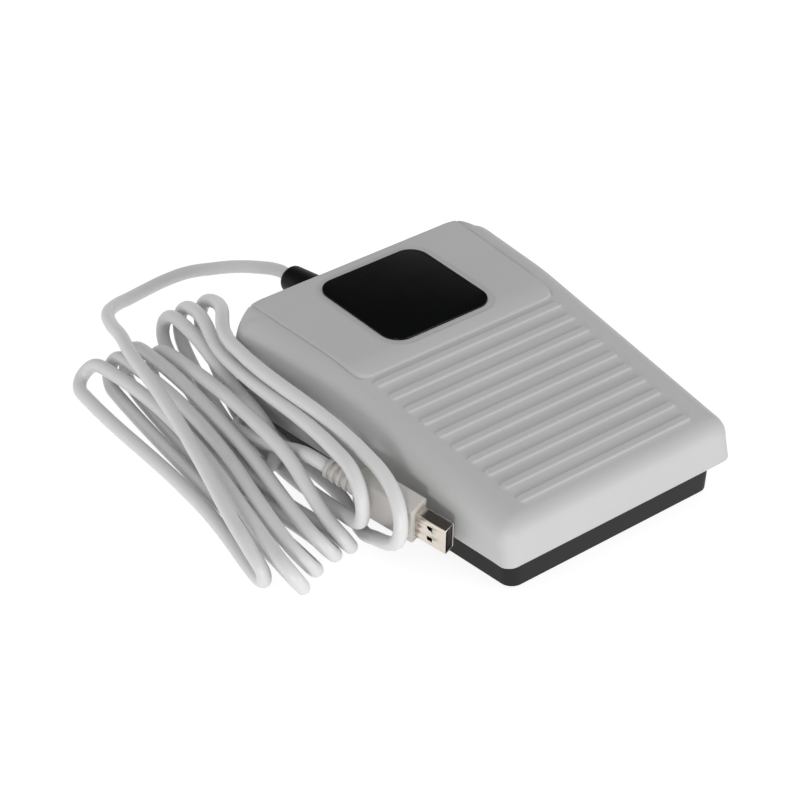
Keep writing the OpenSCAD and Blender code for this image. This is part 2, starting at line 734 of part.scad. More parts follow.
module crystal_can() {
    color("silver") translate([8, board_y0 + 9, board_top]) {
        translate([0, 0, crystal_r]) rod_x(crystal_r, -crystal_flat / 2, crystal_flat / 2);
        translate([-crystal_len / 2, -crystal_r, 0]) cube([crystal_len, 2 * crystal_r, crystal_r]);
    }
}

module board_capacitors() {
    // Places from the board's middle and its front edge
    places = [[-13, 6], [-13, 22], [2, 17], [14, 15], [-1, 5]];
    size = [2, 1.2, 1];
    color("#B89A6A") for (p = places)
        translate([p.x - size.x / 2, board_y0 + p.y - size.y / 2, board_top]) cube(size);
}

module board_header() {
    color("#E8E4D8") difference() {
        block([header_x - header_w / 2, header_y - header_len / 2, board_top],
            [header_x + header_w / 2, header_y + header_len / 2, board_top + header_h]);
        block([header_x - header_w / 2 + 1, header_y - header_len / 2 + 1, board_top + 1.5],
            [header_x + header_w / 2 - 1, header_y + header_len / 2 - 1, board_top + header_h + 1]);
    }
}

core_plug_top = board_top + header_h + 2.5;

module core_plug() {
    color("#F2EEE2")
        block([header_x - header_w / 2 + 1.2, header_y - header_len / 2 + 1.2, board_top + 1.5],
            [header_x + header_w / 2 - 1.2, header_y + header_len / 2 - 1.2, core_plug_top]);
}

module board_screws() {
    color("silver") for (side = [-1, 1]) for (y = board_screw_y)
        translate([side * board_screw_x, y, board_top])
            pan_screw(board_screw_d, board_t + pilot_depth - 0.5, board_screw_d * 0.9, 1.5);
}

// Two leads from the switch's common and normally open terminals to pads on the board
module switch_wires() {
    first_x = -11;
    step_x = 4;
    color("#B02A22") for (i = [0, 1]) {
        y = terminal_y[2 * i];
        x = first_x + step_x * i;
        z = switch_z - terminal_h + 1;
        pad_y = board_y0 + 5;
        path = [
            [-terminal_t / 2, y, z], [-terminal_t / 2 - 2, y, z], [x + 2, y + 1.5, z],
            [x, y + 5, z], [x, switch_y1 + 1, z + 0.5], [x, board_y0 - 2, board_top + 1.6],
            [x, board_y0 + 2.5, board_top + 2.8], [x, pad_y, board_top + 1.6], [x, pad_y + 0.4, board_top]
        ];
        tube(smooth(path, 2, [-1, 0, 0], [0, 0, -1]), core_d / 2, core_sides, [-1, 0, 0], [0, 0, -1]);
    }
}

// Four cores from the cord's inner end down into the plug on the board
module cord_cores() {
    spread = [[-0.75, 0.75], [-0.75, -0.75], [0.75, 0.75], [0.75, -0.75]];
    color("#2E7D3A") for (i = [0:3]) {
        x = header_x + (i - 1.5) * 2;
        path = [
            [spread[i].x, cord_inner_y, cord_z + spread[i].y],
            [spread[i].x, cord_inner_y - 2, cord_z + spread[i].y],
            [mix(spread[i].x, x, 0.6), mix(cord_inner_y - 2, header_y, 0.6), cord_z + spread[i].y * 0.5 + 1],
            [x, header_y, core_plug_top + 1.6], [x, header_y, core_plug_top]
        ];
        tube(smooth(path, 3, [0, -1, 0], [0, 0, -1]), core_d / 2, core_sides, [0, -1, 0], [0, 0, -1]);
    }
}

module cord_clamp() {
    color("#2A2A2A") difference() {
        union() {
            block([-clamp_half_w, clamp_y0, cord_z - cord_r - fit_gap], [clamp_half_w, clamp_y1, cord_z]);
            translate([0, 0, cord_z]) rod_y(cord_r + clamp_t, clamp_y0, clamp_y1);
        }
        block([-clamp_half_w, clamp_y0 - 1, 0], [clamp_half_w, clamp_y1 + 1, cord_z - cord_r - fit_gap]);
        block([-cord_r - fit_gap, clamp_y0 - 1, 0], [cord_r + fit_gap, clamp_y1 + 1, cord_z]);
        translate([0, 0, cord_z]) rod_y(cord_r + fit_gap, clamp_y0 - 1, clamp_y1 + 1);
        for (side = [-1, 1])
            translate([side * clamp_screw_x, (clamp_y0 + clamp_y1) / 2, 0])
                cylinder(d = clamp_screw_d + 2 * fit_gap, h = cord_z + 1);
    }
}

module clamp_screws() {
    color("silver") for (side = [-1, 1])
        translate([side * clamp_screw_x, (clamp_y0 + clamp_y1) / 2, cord_z])
            pan_screw(clamp_screw_d, cord_r + 6, clamp_screw_d * 0.85, 1.6);
}

module cord_inside() {
    color("#C6C8C8") translate([0, 0, cord_z]) rod_y(cord_r, cord_inner_y, gland_end_y);
}

module cord_gland() {
    // Outline in distance from the axis and place along Y, from the inner flange to the rounded tip
    outline = concat(
        [[gland_bore_r, tower_y0 - gland_flange_t], [gland_flange_r, tower_y0 - gland_flange_t],
        [gland_flange_r, tower_y0], [gland_neck_r, tower_y0], [gland_neck_r, tower_y1],
        [gland_flange_r, tower_y1], [gland_flange_r, gland_collar_y], [gland_root_r, gland_collar_y + 0.6]],
        [for (a = [0:15:90])
            [gland_tip_r - gland_round + gland_round * cos(a), gland_end_y - gland_round + gland_round * sin(a)]],
        [[gland_bore_r, gland_end_y]]
    );
    color("#161616") translate([0, 0, cord_z]) rotate([-90, 0, 0]) rotate_extrude() polygon(outline);
}

module cord_lead() {
    path = smooth(concat(lead_points, [hank_start]), lead_steps, [0, 1, 0], hank_in);
    color("#C6C8C8") tube(path, cord_r, cord_sides, [0, 1, 0], hank_in);
}

module cord_hank() {
    echo(hank_least_gap = least_gap(hank_path(2 * hank_steps), 2 * 2 * hank_steps));
    color("#C6C8C8") tube(hank_path(hank_steps), cord_r, hank_sides, hank_in, hank_out);
}

// Turns a point of the plug, which lies behind its tip along Y, to its place in the assembly
function plug_point(y) = plug_tip + y * plug_back();
function plug_back() = [
    -sin(plug_turn) * cos(plug_tip_down), cos(plug_turn) * cos(plug_tip_down), sin(plug_tip_down)
];

module in_plug() {
    translate(plug_tip) rotate([0, 0, plug_turn]) rotate([plug_tip_down, 0, 0]) rotate([0, -plug_lean, 0]) children();
}

module cord_tail() {
    ends = [plug_point(relief_end_y + 1.5 * cord_d), plug_point(relief_end_y)];
    path = smooth(concat([hank_stop], tail_points, ends), lead_steps, hank_out, -plug_back());
    color("#C6C8C8") tube([for (p = path) on_floor(p)], cord_r, cord_sides, hank_out, -plug_back());
}

module usb_moulding() {
    edge = 1.2;
    rib = relief_len / (2 * relief_rings + 1);
    sleeve_r = cord_r + 1.5;
    groove_r = cord_r + 0.6;
    profile = concat(
        [[0, -1], [sleeve_r, -1]],
        [for (i = [0:relief_rings - 1]) each [
            [sleeve_r, (2 * i + 1) * rib], [groove_r, (2 * i + 1) * rib],
            [groove_r, (2 * i + 2) * rib], [sleeve_r, (2 * i + 2) * rib]]],
        [[sleeve_r, relief_len], [0, relief_len]]
    );
    color("#D7D5D2") in_plug() difference() {
        union() {
            hull() for (x = [-1, 1]) for (z = [-1, 1]) {
                translate([x * (mould_t / 2 - edge), shell_len, z * (mould_w / 2 - edge)])
                    rotate([-90, 0, 0]) cylinder(r = edge, h = mould_len * 0.7, $fn = hull_fn);
                translate([x * (mould_t / 2 - 0.6 - edge), shell_len, z * (mould_w / 2 - 1.6 - edge)])
                    rotate([-90, 0, 0]) cylinder(r = edge, h = mould_len, $fn = hull_fn);
            }
            translate([0, mould_back_y, 0]) rotate([-90, 0, 0]) rotate_extrude() polygon(profile);
        }
        block([-shell_t / 2 - fit_gap, 0, -shell_w / 2 - fit_gap],
            [shell_t / 2 + fit_gap, shell_len + shell_hidden + fit_gap, shell_w / 2 + fit_gap]);
    }
}

module usb_shell() {
    // Two square windows in each broad side, where a socket's springs catch
    window = 2.3;
    color("#C9C6C0") in_plug() difference() {
        block([-shell_t / 2, 0, -shell_w / 2], [shell_t / 2, shell_len + shell_hidden, shell_w / 2]);
        block([-shell_t / 2 + shell_sheet, -1, -shell_w / 2 + shell_sheet],
            [shell_t / 2 - shell_sheet, shell_len + shell_hidden + 1, shell_w / 2 - shell_sheet]);
        for (z = [-1, 1])
            block([-shell_t, 5.2 - window / 2, z * 2.6 - window / 2], [shell_t, 5.2 + window / 2, z * 2.6 + window / 2]);
    }
}

tongue_t = 1.9;
tongue_x = shell_t / 2 - shell_sheet - fit_gap - tongue_t;
tongue_w = shell_w - 2 * shell_sheet - 2 * fit_gap;
contact_t = 0.2;

module usb_tongue() {
    color("#2A2A2A") in_plug()
        block([tongue_x, 0.8, -tongue_w / 2], [tongue_x + tongue_t, shell_len + shell_hidden, tongue_w / 2]);
}

module usb_contacts() {
    color("#D8B45A") in_plug() for (i = [0:3])
        translate([tongue_x - contact_t, i == 0 || i == 3 ? 1.6 : 2.6, (i - 1.5) * 2.3 - 0.5])
            cube([contact_t, 8, 1]);
}

base_tray();
pedal_cover();
badge_plate();
hinge_pins();
return_springs();
bump_stops();
rubber_feet();
switch_case();
switch_plunger();
switch_lever();
switch_terminals();
switch_screws();
encoder_board();
encoder_chip();
crystal_can();
board_capacitors();
board_header();
core_plug();
board_screws();
switch_wires();
cord_cores();
cord_clamp();
clamp_screws();
cord_inside();
cord_gland();
cord_lead();
cord_hank();
cord_tail();
usb_moulding();
usb_shell();
usb_tongue();
usb_contacts();
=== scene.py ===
import math

import bmesh
import bpy
import numpy as np
from mathutils import Matrix, Vector


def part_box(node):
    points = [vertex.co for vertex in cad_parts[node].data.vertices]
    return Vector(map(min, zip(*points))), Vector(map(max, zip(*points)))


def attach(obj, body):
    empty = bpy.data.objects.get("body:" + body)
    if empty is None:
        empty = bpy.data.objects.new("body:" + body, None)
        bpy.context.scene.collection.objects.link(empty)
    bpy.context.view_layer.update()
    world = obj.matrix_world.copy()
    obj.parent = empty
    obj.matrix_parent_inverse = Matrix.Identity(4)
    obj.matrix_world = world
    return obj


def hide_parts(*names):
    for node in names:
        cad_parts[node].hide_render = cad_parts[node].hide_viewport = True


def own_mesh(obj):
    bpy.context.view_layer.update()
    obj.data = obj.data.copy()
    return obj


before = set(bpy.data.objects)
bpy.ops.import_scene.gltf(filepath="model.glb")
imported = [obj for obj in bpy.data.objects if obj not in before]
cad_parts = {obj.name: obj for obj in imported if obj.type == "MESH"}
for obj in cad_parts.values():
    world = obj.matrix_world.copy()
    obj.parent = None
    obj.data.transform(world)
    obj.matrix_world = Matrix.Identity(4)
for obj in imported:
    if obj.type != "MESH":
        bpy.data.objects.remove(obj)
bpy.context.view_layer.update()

MM = 0.001


# Camera: a long lens from the front left, well above the pedal

EYE = Vector((-493.3, -554.8, 508.6)) * MM
AIM = Vector((-1.2, 42.3, 0)) * MM
SENSOR = 36
LENS = 119.76

camera = bpy.data.objects.new("camera", bpy.data.cameras.new("camera"))
bpy.context.scene.collection.objects.link(camera)
camera.location = EYE
camera.rotation_mode = "QUATERNION"
camera.rotation_quaternion = (AIM - EYE).to_track_quat("-Z", "Y")
camera.data.sensor_width = SENSOR
camera.data.lens = LENS
bpy.context.scene.camera = camera


# Cord: one length of cable from the gland, over the hank, round its loops and back to the plug

CORD_D = 4.8 * MM
CORD_R = CORD_D / 2
CORD_EXIT = (0, 0.106, 0.020)
LEAD = [
    CORD_EXIT, (0, 0.112, 0.020), (-0.002, 0.121, 0.018), (-0.005, 0.133, 0.014), (-0.009, 0.143, 0.010),
    (-0.015, 0.149, 0.008), (-0.023, 0.151, 0.007), (-0.033, 0.150, 0.007), (-0.043, 0.146, 0.009),
    (-0.052, 0.141, 0.012), (-0.060, 0.134, 0.015), (-0.066, 0.123, 0.018), (-0.070, 0.111, 0.0205),
    (-0.075, 0.097, 0.0215), (-0.0795, 0.078, 0.021), (-0.085, 0.057, 0.020), (-0.090, 0.040, 0.019),
    (-0.0945, 0.025, 0.0175), (-0.1008, 0.005, 0.0155),
]
TAIL = [
    (-0.060, -0.006, CORD_R), (-0.055, 0.008, CORD_R), (-0.0534, 0.022, 0.0025), (-0.0534, 0.034, 0.0045),
    (-0.0548, 0.0455, 0.008), (-0.0569, 0.051, 0.0092), (-0.061, 0.0533, 0.0103), (-0.0651, 0.051, 0.0115),
    (-0.067, 0.0455, 0.0128), (-0.0677, 0.034, 0.016), (-0.0672, 0.023, 0.019), (-0.0674, 0.013, 0.0225),
]
# Hank: one row for each fold, with the place of its end, half its height, and how far it leans to the side
NEAR_FOLDS = [
    (-0.105, -0.017, 0.0083, 0.0062, 0.001), (-0.099, -0.0275, 0.0083, 0.0062, 0.003),
    (-0.091, -0.023, 0.0083, 0.0062, 0.004), (-0.0815, -0.0205, 0.0083, 0.0062, 0.004),
    (-0.0745, -0.0205, 0.0085, 0.0062, 0.003), (-0.0652, 0.030, 0.0093, 0.0062, -0.002),
    (-0.0725, -0.026, 0.023, 0.012, 0), (-0.0675, -0.0385, 0.020, 0.015, -0.001),
]
FAR_FOLDS = [
    (-0.081, 0.119, 0.0055, 0.006, -0.004), (-0.073, 0.114, 0.008, 0.0062, -0.0025),
    (-0.0666, 0.113, 0.0095, 0.007, -0.0027), (-0.0605, 0.106, 0.0095, 0.0065, -0.0025),
    (-0.0516, 0.112, 0.0167, 0.008, -0.0016), (-0.0455, 0.1105, 0.018, 0.011, -0.0015),
    (-0.0395, 0.106, 0.0205, 0.012, -0.0015),
]
# Each loop also passes one place on the floor and one on its upper side
LOWER_MIDS = [
    (-0.093, 0.035, CORD_R), (-0.0875, 0.035, CORD_R), (-0.082, 0.035, CORD_R), (-0.0765, 0.035, CORD_R),
    (-0.071, 0.036, CORD_R), (-0.0622, 0.053, CORD_R), (-0.0567, 0.052, CORD_R),
]
UPPER_MIDS = [
    (-0.080, 0.060, 0.0108), (-0.0756, 0.055, 0.0138), (-0.0718, 0.045, 0.0156), (-0.0728, 0.018, 0.0255),
    (-0.0592, 0.060, 0.021), (-0.059, 0.064, 0.030), (-0.0588, 0.060, 0.037),
]
FOLD_REACH = 1.2
FOLD_RISE = 0.9
FOLD_FULLNESS = 1.17
CORD_STEPS = 8

# Plug: the middle of its tip, how it is turned, tipped down and leant over, and its length to the cord
PLUG_TIP = Vector((-0.0547, -0.047, 0.0157))
PLUG_TURN = math.radians(15)
PLUG_TIP_DOWN = math.radians(10)
PLUG_LEAN = math.radians(13)
PLUG_LEN = 48 * MM
plug_place = (
    Matrix.Translation(PLUG_TIP) @ Matrix.Rotation(PLUG_TURN, 4, "Z")
    @ Matrix.Rotation(PLUG_TIP_DOWN, 4, "X") @ Matrix.Rotation(-PLUG_LEAN, 4, "Y")
)
plug_back = (plug_place.to_3x3() @ Vector((0, 1, 0))).normalized()


def bend(a, b, a_way, b_way, t):
    """A point between a and b on a curve that leaves a along a_way and reaches b along b_way."""
    reach = (b - a).length * FOLD_FULLNESS
    return (
        a * ((1 + 2 * t) * (1 - t) ** 2) + a_way * (reach * t * (1 - t) ** 2)
        + b * (t * t * (3 - 2 * t)) - b_way * (reach * t * t * (1 - t))
    )


def smooth_route(points, first_way, last_way):
    """The points joined by one smooth curve, without its last point."""
    points = [Vector(p) for p in points]
    ways = [(b - a).normalized() for a, b in zip(points, points[2:])]
    ways = [first_way, *ways, last_way]
    return [
        bend(points[i], points[i + 1], ways[i], ways[i + 1], s / CORD_STEPS)
        for i in range(len(points) - 1) for s in range(CORD_STEPS)
    ]


def on_floor(p):
    return Vector((p.x, p.y, max(p.z, CORD_R)))


def fold_places(fold, way, toward):
    """A fold's upper place, its end and its lower place.
    Toward is 1 at the near folds and -1 at the far ones."""
    end, half_height, lean = Vector(fold[:3]), fold[3], fold[4] * Vector((way.y, -way.x, 0))
    back = end + toward * FOLD_REACH * half_height * way
    rise = Vector((0, 0, FOLD_RISE * half_height))
    return [back - lean + rise, end, on_floor(back + lean - rise)]


def hank_places():
    """The places the hank passes. A loop goes out low and comes back high, and a near fold ends the hank."""
    places = []
    for i, fold in enumerate(NEAR_FOLDS):
        far_fold = FAR_FOLDS[min(i, len(FAR_FOLDS) - 1)]
        way = Vector((far_fold[0] - fold[0], far_fold[1] - fold[1], 0)).normalized()
        places += fold_places(fold, way, 1)
        if i < len(FAR_FOLDS):
            far_upper, far_end, far_lower = fold_places(far_fold, way, -1)
            places += [Vector(LOWER_MIDS[i]), far_lower, far_end, far_upper, Vector(UPPER_MIDS[i])]
    return places


def cord_route():
    """The whole cord, from the gland to the plug."""
    hank = hank_places()
    hank_in = (hank[1] - Vector(LEAD[-1])).normalized()
    hank_out = (Vector(TAIL[0]) - hank[-2]).normalized()
    sleeve_end = PLUG_TIP + PLUG_LEN * plug_back
    tail = [hank[-1], *TAIL, sleeve_end + 1.5 * CORD_D * plug_back, sleeve_end]
    route = smooth_route([*LEAD, hank[0]], Vector((0, 1, 0)), hank_in)
    route += smooth_route(hank, hank_in, hank_out)
    route += smooth_route(tail, hank_out, -plug_back)
    return [on_floor(p) for p in [*route, sleeve_end]]


route = cord_route()


# Mesh helpers

WELD = 0.002 * MM


def make_piece(name, points, faces, body, slot, nodes, crease=40):
    """A closed mesh as a piece of the object, riding on a body in place of some nodes."""
    mesh = bpy.data.meshes.new(name)
    work = bmesh.new()
    verts = [work.verts.new(p) for p in points]
    for face in faces:
        if len(set(face)) > 2:
            work.faces.new([verts[i] for i in dict.fromkeys(face)])
    bmesh.ops.remove_doubles(work, verts=work.verts, dist=WELD)
    bmesh.ops.dissolve_degenerate(work, edges=work.edges, dist=WELD)
    bmesh.ops.recalc_face_normals(work, faces=work.faces)
    work.to_mesh(mesh)
    work.free()
    mesh.shade_smooth()
    mesh.set_sharp_from_angle(angle=math.radians(crease))
    made = bpy.data.objects.new(name, mesh)
    bpy.context.scene.collection.objects.link(made)
    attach(made, body)
    if nodes:
        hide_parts(*nodes)
    return made


def skin(rings, first_cap=True, last_cap=True):
    """Points and faces of a skin over closed rings of equally many points."""
    n = len(rings[0])
    points = [p for ring in rings for p in ring]
    faces = [
        (k * n + i, k * n + (i + 1) % n, (k + 1) * n + (i + 1) % n, (k + 1) * n + i)
        for k in range(len(rings) - 1) for i in range(n)
    ]
    if first_cap:
        faces.append(tuple(range(n))[::-1])
    if last_cap:
        faces.append(tuple(range(len(points) - n, len(points))))
    return points, faces


def joined(*parts):
    """Several sets of points and faces as one."""
    points, faces = [], []
    for more_points, more_faces in parts:
        faces += [tuple(i + len(points) for i in face) for face in more_faces]
        points += more_points
    return points, faces


def turned(profile, sides, place):
    """A shape turned about the Y axis from (radius, y) pairs, set down by a matrix."""
    rings = [
        [place @ Vector((r * math.cos(a), y, r * math.sin(a)))
         for a in np.linspace(0, 2 * math.pi, sides, endpoint=False)]
        for r, y in profile
    ]
    return skin(rings)


def round_corners(half_x, half_y, r, arc=8):
    """A rectangle with round corners about the origin, as (x, y) pairs."""
    outline = []
    for i, (sx, sy) in enumerate([(1, 1), (-1, 1), (-1, -1), (1, -1)]):
        for a in np.linspace(i * math.pi / 2, (i + 1) * math.pi / 2, arc):
            outline.append((sx * (half_x - r) + r * math.cos(a), sy * (half_y - r) + r * math.sin(a)))
    return outline


def tube(path, r, sides):
    """A round tube along a path, with rings carried along it without twist."""
    rings, side = [], Vector((1, 0, 0))
    for i, middle in enumerate(path):
        way = (path[min(i + 1, len(path) - 1)] - path[max(i - 1, 0)]).normalized()
        side = (side - side.dot(way) * way).normalized()
        across = way.cross(side)
        rings.append([
            middle + r * (math.cos(a) * side + math.sin(a) * across)
            for a in np.linspace(0, 2 * math.pi, sides, endpoint=False)
        ])
    return skin(rings)


def spread(low, high, step):
    """Even places from low to high, about a step apart."""
    return np.linspace(low, high, max(2, round((high - low) / step) + 1))


def ease(x):
    """0 below 0, 1 above 1, and a smooth rise between."""
    x = np.clip(x, 0, 1)
    return x * x * (3 - 2 * x)


def soft_max(a, b, width):
    """The larger of two heights, with a fillet where they cross."""
    t = np.clip(0.5 + 0.5 * (b - a) / width, 0, 1)
    return a + (b - a) * t + width * t * (1 - t)


cord = make_piece(
    "cord", *tube(route, CORD_R, 16), "base", "cord_vinyl", ["cord_lead", "cord_hank", "cord_tail"], crease=60
)


# Pedal cover: sizes that its outside follows

cover_low, cover_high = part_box("pedal_cover")
FRONT_Y, BACK_Y = cover_low.y, cover_high.y
EDGE_Z = 12.4 * MM
FRONT_HALF_W = 49.1 * MM
BACK_HALF_W = 56.2 * MM
COVER_WALL = 2.5 * MM
NOSE_R = 7.5 * MM
NOSE_Z = 28.5 * MM
SHOULDER_R = 9.4 * MM
BACK_R = 1.2 * MM
FRONT_CORNER_R = 4.5 * MM
CORNER_BACK_R = 3 * MM
CORNER_BEND_X = 40 * MM
BREAK_Y = BACK_Y - 41 * MM
BREAK_Z = 42.3 * MM
BREAK_SOFT = 0.5 * MM
BACK_Z = 44.1 * MM
TREAD_SLOPE = (BREAK_Z - NOSE_Z) / (BREAK_Y - FRONT_Y - NOSE_R)
REAR_SLOPE = (BACK_Z - BREAK_Z) / (BACK_Y - BREAK_Y)
PANEL_Y = BACK_Y - 57.5 * MM
PANEL_RISE = 0.35 * MM
PANEL_SIDE = 10.8 * MM
PANEL_CORNER_R = 5 * MM
PANEL_END = -1.5 * MM
PANEL_END_R = 3.5 * MM
PANEL_SIDE_SOFT = 0.8 * MM
PANEL_FRONT_SOFT = 0.7 * MM
PANEL_DIP = 1.25 * MM
PANEL_DIP_LEN = 10 * MM
TREAD_LIFT = 0.5 * MM
TREAD_LIFT_LEN = 25 * MM
TREAD_LIFT_SIDE = 6 * MM
CREASE_DEEP = 0.4 * MM
CREASE_HALF_W = 0.5 * MM
RIB_COUNT = 10
RIB_PITCH = 7.35 * MM
RIB_HALF_W = 1.8 * MM
RIB_RISE = 0.6 * MM
RIB_EDGE = 0.7 * MM
RIB_END_R = 1.2 * MM
RIB_SIDE = 12.6 * MM
FIRST_RIB_Y = PANEL_Y - 3.6 * MM
BADGE_HALF_W = 22.2 * MM
BADGE_HALF_LEN = 21.7 * MM
BADGE_R = 7 * MM
BADGE_Y = BACK_Y - 5.6 * MM - BADGE_HALF_LEN
BADGE_PROUD = 0.4 * MM
BADGE_T = 1.2 * MM
BADGE_EDGE = 0.3 * MM
FRAME_W = 2.5 * MM
FRAME_DEEP = 0.3 * MM
FRAME_SOFT = 0.5 * MM
GLAND_Z = 20 * MM
NOTCH_R = 11.1 * MM
EDGE_ROUND = 0.5 * MM
SIDE_WAY = math.atan2(FRONT_HALF_W - BACK_HALF_W, BACK_Y - FRONT_Y)
rib_places = [FIRST_RIB_Y - i * RIB_PITCH for i in range(RIB_COUNT)]


def half_width(y):
    return FRONT_HALF_W + (BACK_HALF_W - FRONT_HALF_W) * (y - FRONT_Y) / (BACK_Y - FRONT_Y)


def rear_height(y):
    return BREAK_Z + (y - BREAK_Y) * REAR_SLOPE


def plain_height(y):
    """The tread's slope and the flatter rear, eased into each other at the break."""
    tread = BREAK_Z + (y - BREAK_Y) * TREAD_SLOPE
    return -soft_max(-tread, -rear_height(y), BREAK_SOFT)


def inside_corner(side, end, r):
    """Distance inside an outline with round corners, from the distances inside its side and its end."""
    return r - np.hypot(np.maximum(r - side, 0), np.maximum(r - end, 0))


def top_height(x, y):
    """The cover's top with its rear panel, the crease beside it, its badge frame and its ribs.
    The panel dips at its front and the tread lifts to meet it, which leaves a low step between them."""
    lift = TREAD_LIFT * ease((y - PANEL_Y) / TREAD_LIFT_LEN + 1)
    z = plain_height(y) + lift * ease((half_width(y) - SHOULDER_R - np.abs(x)) / TREAD_LIFT_SIDE)
    side, front = half_width(y) - PANEL_SIDE - np.abs(x), y - PANEL_Y
    back = BACK_Y - PANEL_END - y
    on_panel = np.where(
        front < back, inside_corner(side, front, PANEL_CORNER_R), inside_corner(side, back, PANEL_END_R)
    )
    near_front = ease((side - front) / PANEL_CORNER_R + 0.5)
    soft = PANEL_SIDE_SOFT + (PANEL_FRONT_SOFT - PANEL_SIDE_SOFT) * near_front
    panel = rear_height(y) + PANEL_RISE - PANEL_DIP * np.clip(1 - front / PANEL_DIP_LEN, 0, 1) ** 2
    z = z + (panel - z) * ease(on_panel / soft)
    z = z - CREASE_DEEP * (1 - near_front) * np.clip(1 - np.abs(on_panel) / CREASE_HALF_W, 0, 1)
    in_frame = inside_corner(
        BADGE_HALF_W + FRAME_W - np.abs(x), BADGE_HALF_LEN + FRAME_W - np.abs(y - BADGE_Y), BADGE_R + FRAME_W
    )
    z = z - FRAME_DEEP * ease(in_frame / FRAME_SOFT)
    for rib_y in rib_places:
        end = half_width(rib_y) - RIB_SIDE - np.abs(x)
        on_rib = inside_corner(end, RIB_HALF_W - np.abs(y - rib_y), RIB_END_R)
        z = z + RIB_RISE * ease(on_rib / RIB_EDGE)
    return z


# The top is flat out to where its edges start to round. Round a rear corner, seen from above, the rounding
# shrinks from the long shoulder's to the back edge's.
TOP_FRONT_Y = FRONT_Y + NOSE_R * (1 - math.sin(math.atan(TREAD_SLOPE)))
TOP_BACK_Y = BACK_Y - BACK_R
CORNER_Y = BACK_Y - SHOULDER_R
CORNER_X = half_width(CORNER_Y) - SHOULDER_R
CORNER_FIRST_TURN = 40
CORNER_FALL = 1.6
CORNER_COUNT = 11
corner_turns = np.radians(np.linspace(CORNER_FIRST_TURN, 90, CORNER_COUNT))
corner_fall = np.linspace(0, 1, CORNER_COUNT) ** CORNER_FALL
corner_radii = SHOULDER_R - (SHOULDER_R - CORNER_BACK_R) * corner_fall
corner_edge_x = CORNER_X + (SHOULDER_R - corner_radii) * np.cos(corner_turns)
corner_edge_y = CORNER_Y + (SHOULDER_R - corner_radii) * np.sin(corner_turns)
corner_stretch = (TOP_BACK_Y - CORNER_Y) / (corner_edge_y[-1] - CORNER_Y)
corner_rows = CORNER_Y + (corner_edge_y - CORNER_Y) * corner_stretch


def shoulder_radius(y):
    """The radius of the long shoulders, which grows from the nose to the break."""
    return np.interp(y, [FRONT_Y + NOSE_R, BREAK_Y], [NOSE_R, SHOULDER_R])


def top_edge_x(y):
    """Where a row of the top starts to round at its side."""
    at_corner = np.interp(y, corner_rows, corner_edge_x)
    return np.where(y < CORNER_Y, half_width(y) - shoulder_radius(y), at_corner)


def bent_row(x, y):
    """A row's places along Y: the rearmost rows bend forward at the corners."""
    edge_y = np.where(y < CORNER_Y, y, np.interp(y, corner_rows, corner_edge_y))
    out = np.clip((np.abs(x) - CORNER_BEND_X) / (top_edge_x(y) - CORNER_BEND_X), 0, 1)
    return y + (edge_y - y) * out ** 2


def top_rows():
    """Places of the top's rows of points along Y, close together where its shape changes fast."""
    fine, rib_step, coarse, least = 0.4 * MM, 0.2 * MM, 3 * MM, 0.16 * MM
    frame_y, frame_r = BADGE_HALF_LEN + FRAME_W, BADGE_R + FRAME_W
    rows = [spread(y - RIB_HALF_W, y + RIB_HALF_W, rib_step) for y in rib_places]
    rows.append(spread(PANEL_Y, PANEL_Y + PANEL_FRONT_SOFT, rib_step))
    rows.append(spread(PANEL_Y - fine, PANEL_Y + PANEL_CORNER_R, fine))
    rows.append(spread(BADGE_Y - frame_y - fine, BADGE_Y - frame_y + frame_r, fine))
    rows.append(spread(BADGE_Y + frame_y - frame_r, BADGE_Y + frame_y + fine, fine))
    rows.append(spread(TOP_FRONT_Y, TOP_BACK_Y, coarse))
    kept = [TOP_FRONT_Y, *corner_rows]
    for y in np.concatenate(rows):
        if TOP_FRONT_Y < y < TOP_BACK_Y and min(abs(y - k) for k in kept) > least:
            kept.append(y)
    return np.sort(kept)


def top_columns(y):
    """Places of a row's points along X: the middle by distance from the middle, the rest from the side."""
    fine, coarse, notch_step, between_count, rim_count = 0.45 * MM, 2.5 * MM, 0.01 * MM, 4, 22
    corner_x, frame_x, flat_x = 14.5 * MM, 25.5 * MM, 27.5 * MM
    rim_x = half_width(y) - 16.8 * MM
    over_notch = spread(0, NOTCH_R - notch_step, coarse)
    beside_notch = spread(NOTCH_R + notch_step, corner_x, coarse)
    frame_columns = spread(corner_x, frame_x, fine)[1:]
    between = np.linspace(flat_x, rim_x, between_count, endpoint=False)
    rim = np.linspace(rim_x, top_edge_x(y), rim_count)
    right = np.concatenate([over_notch, beside_notch, frame_columns, between, rim])
    return np.concatenate([-right[:0:-1], right])


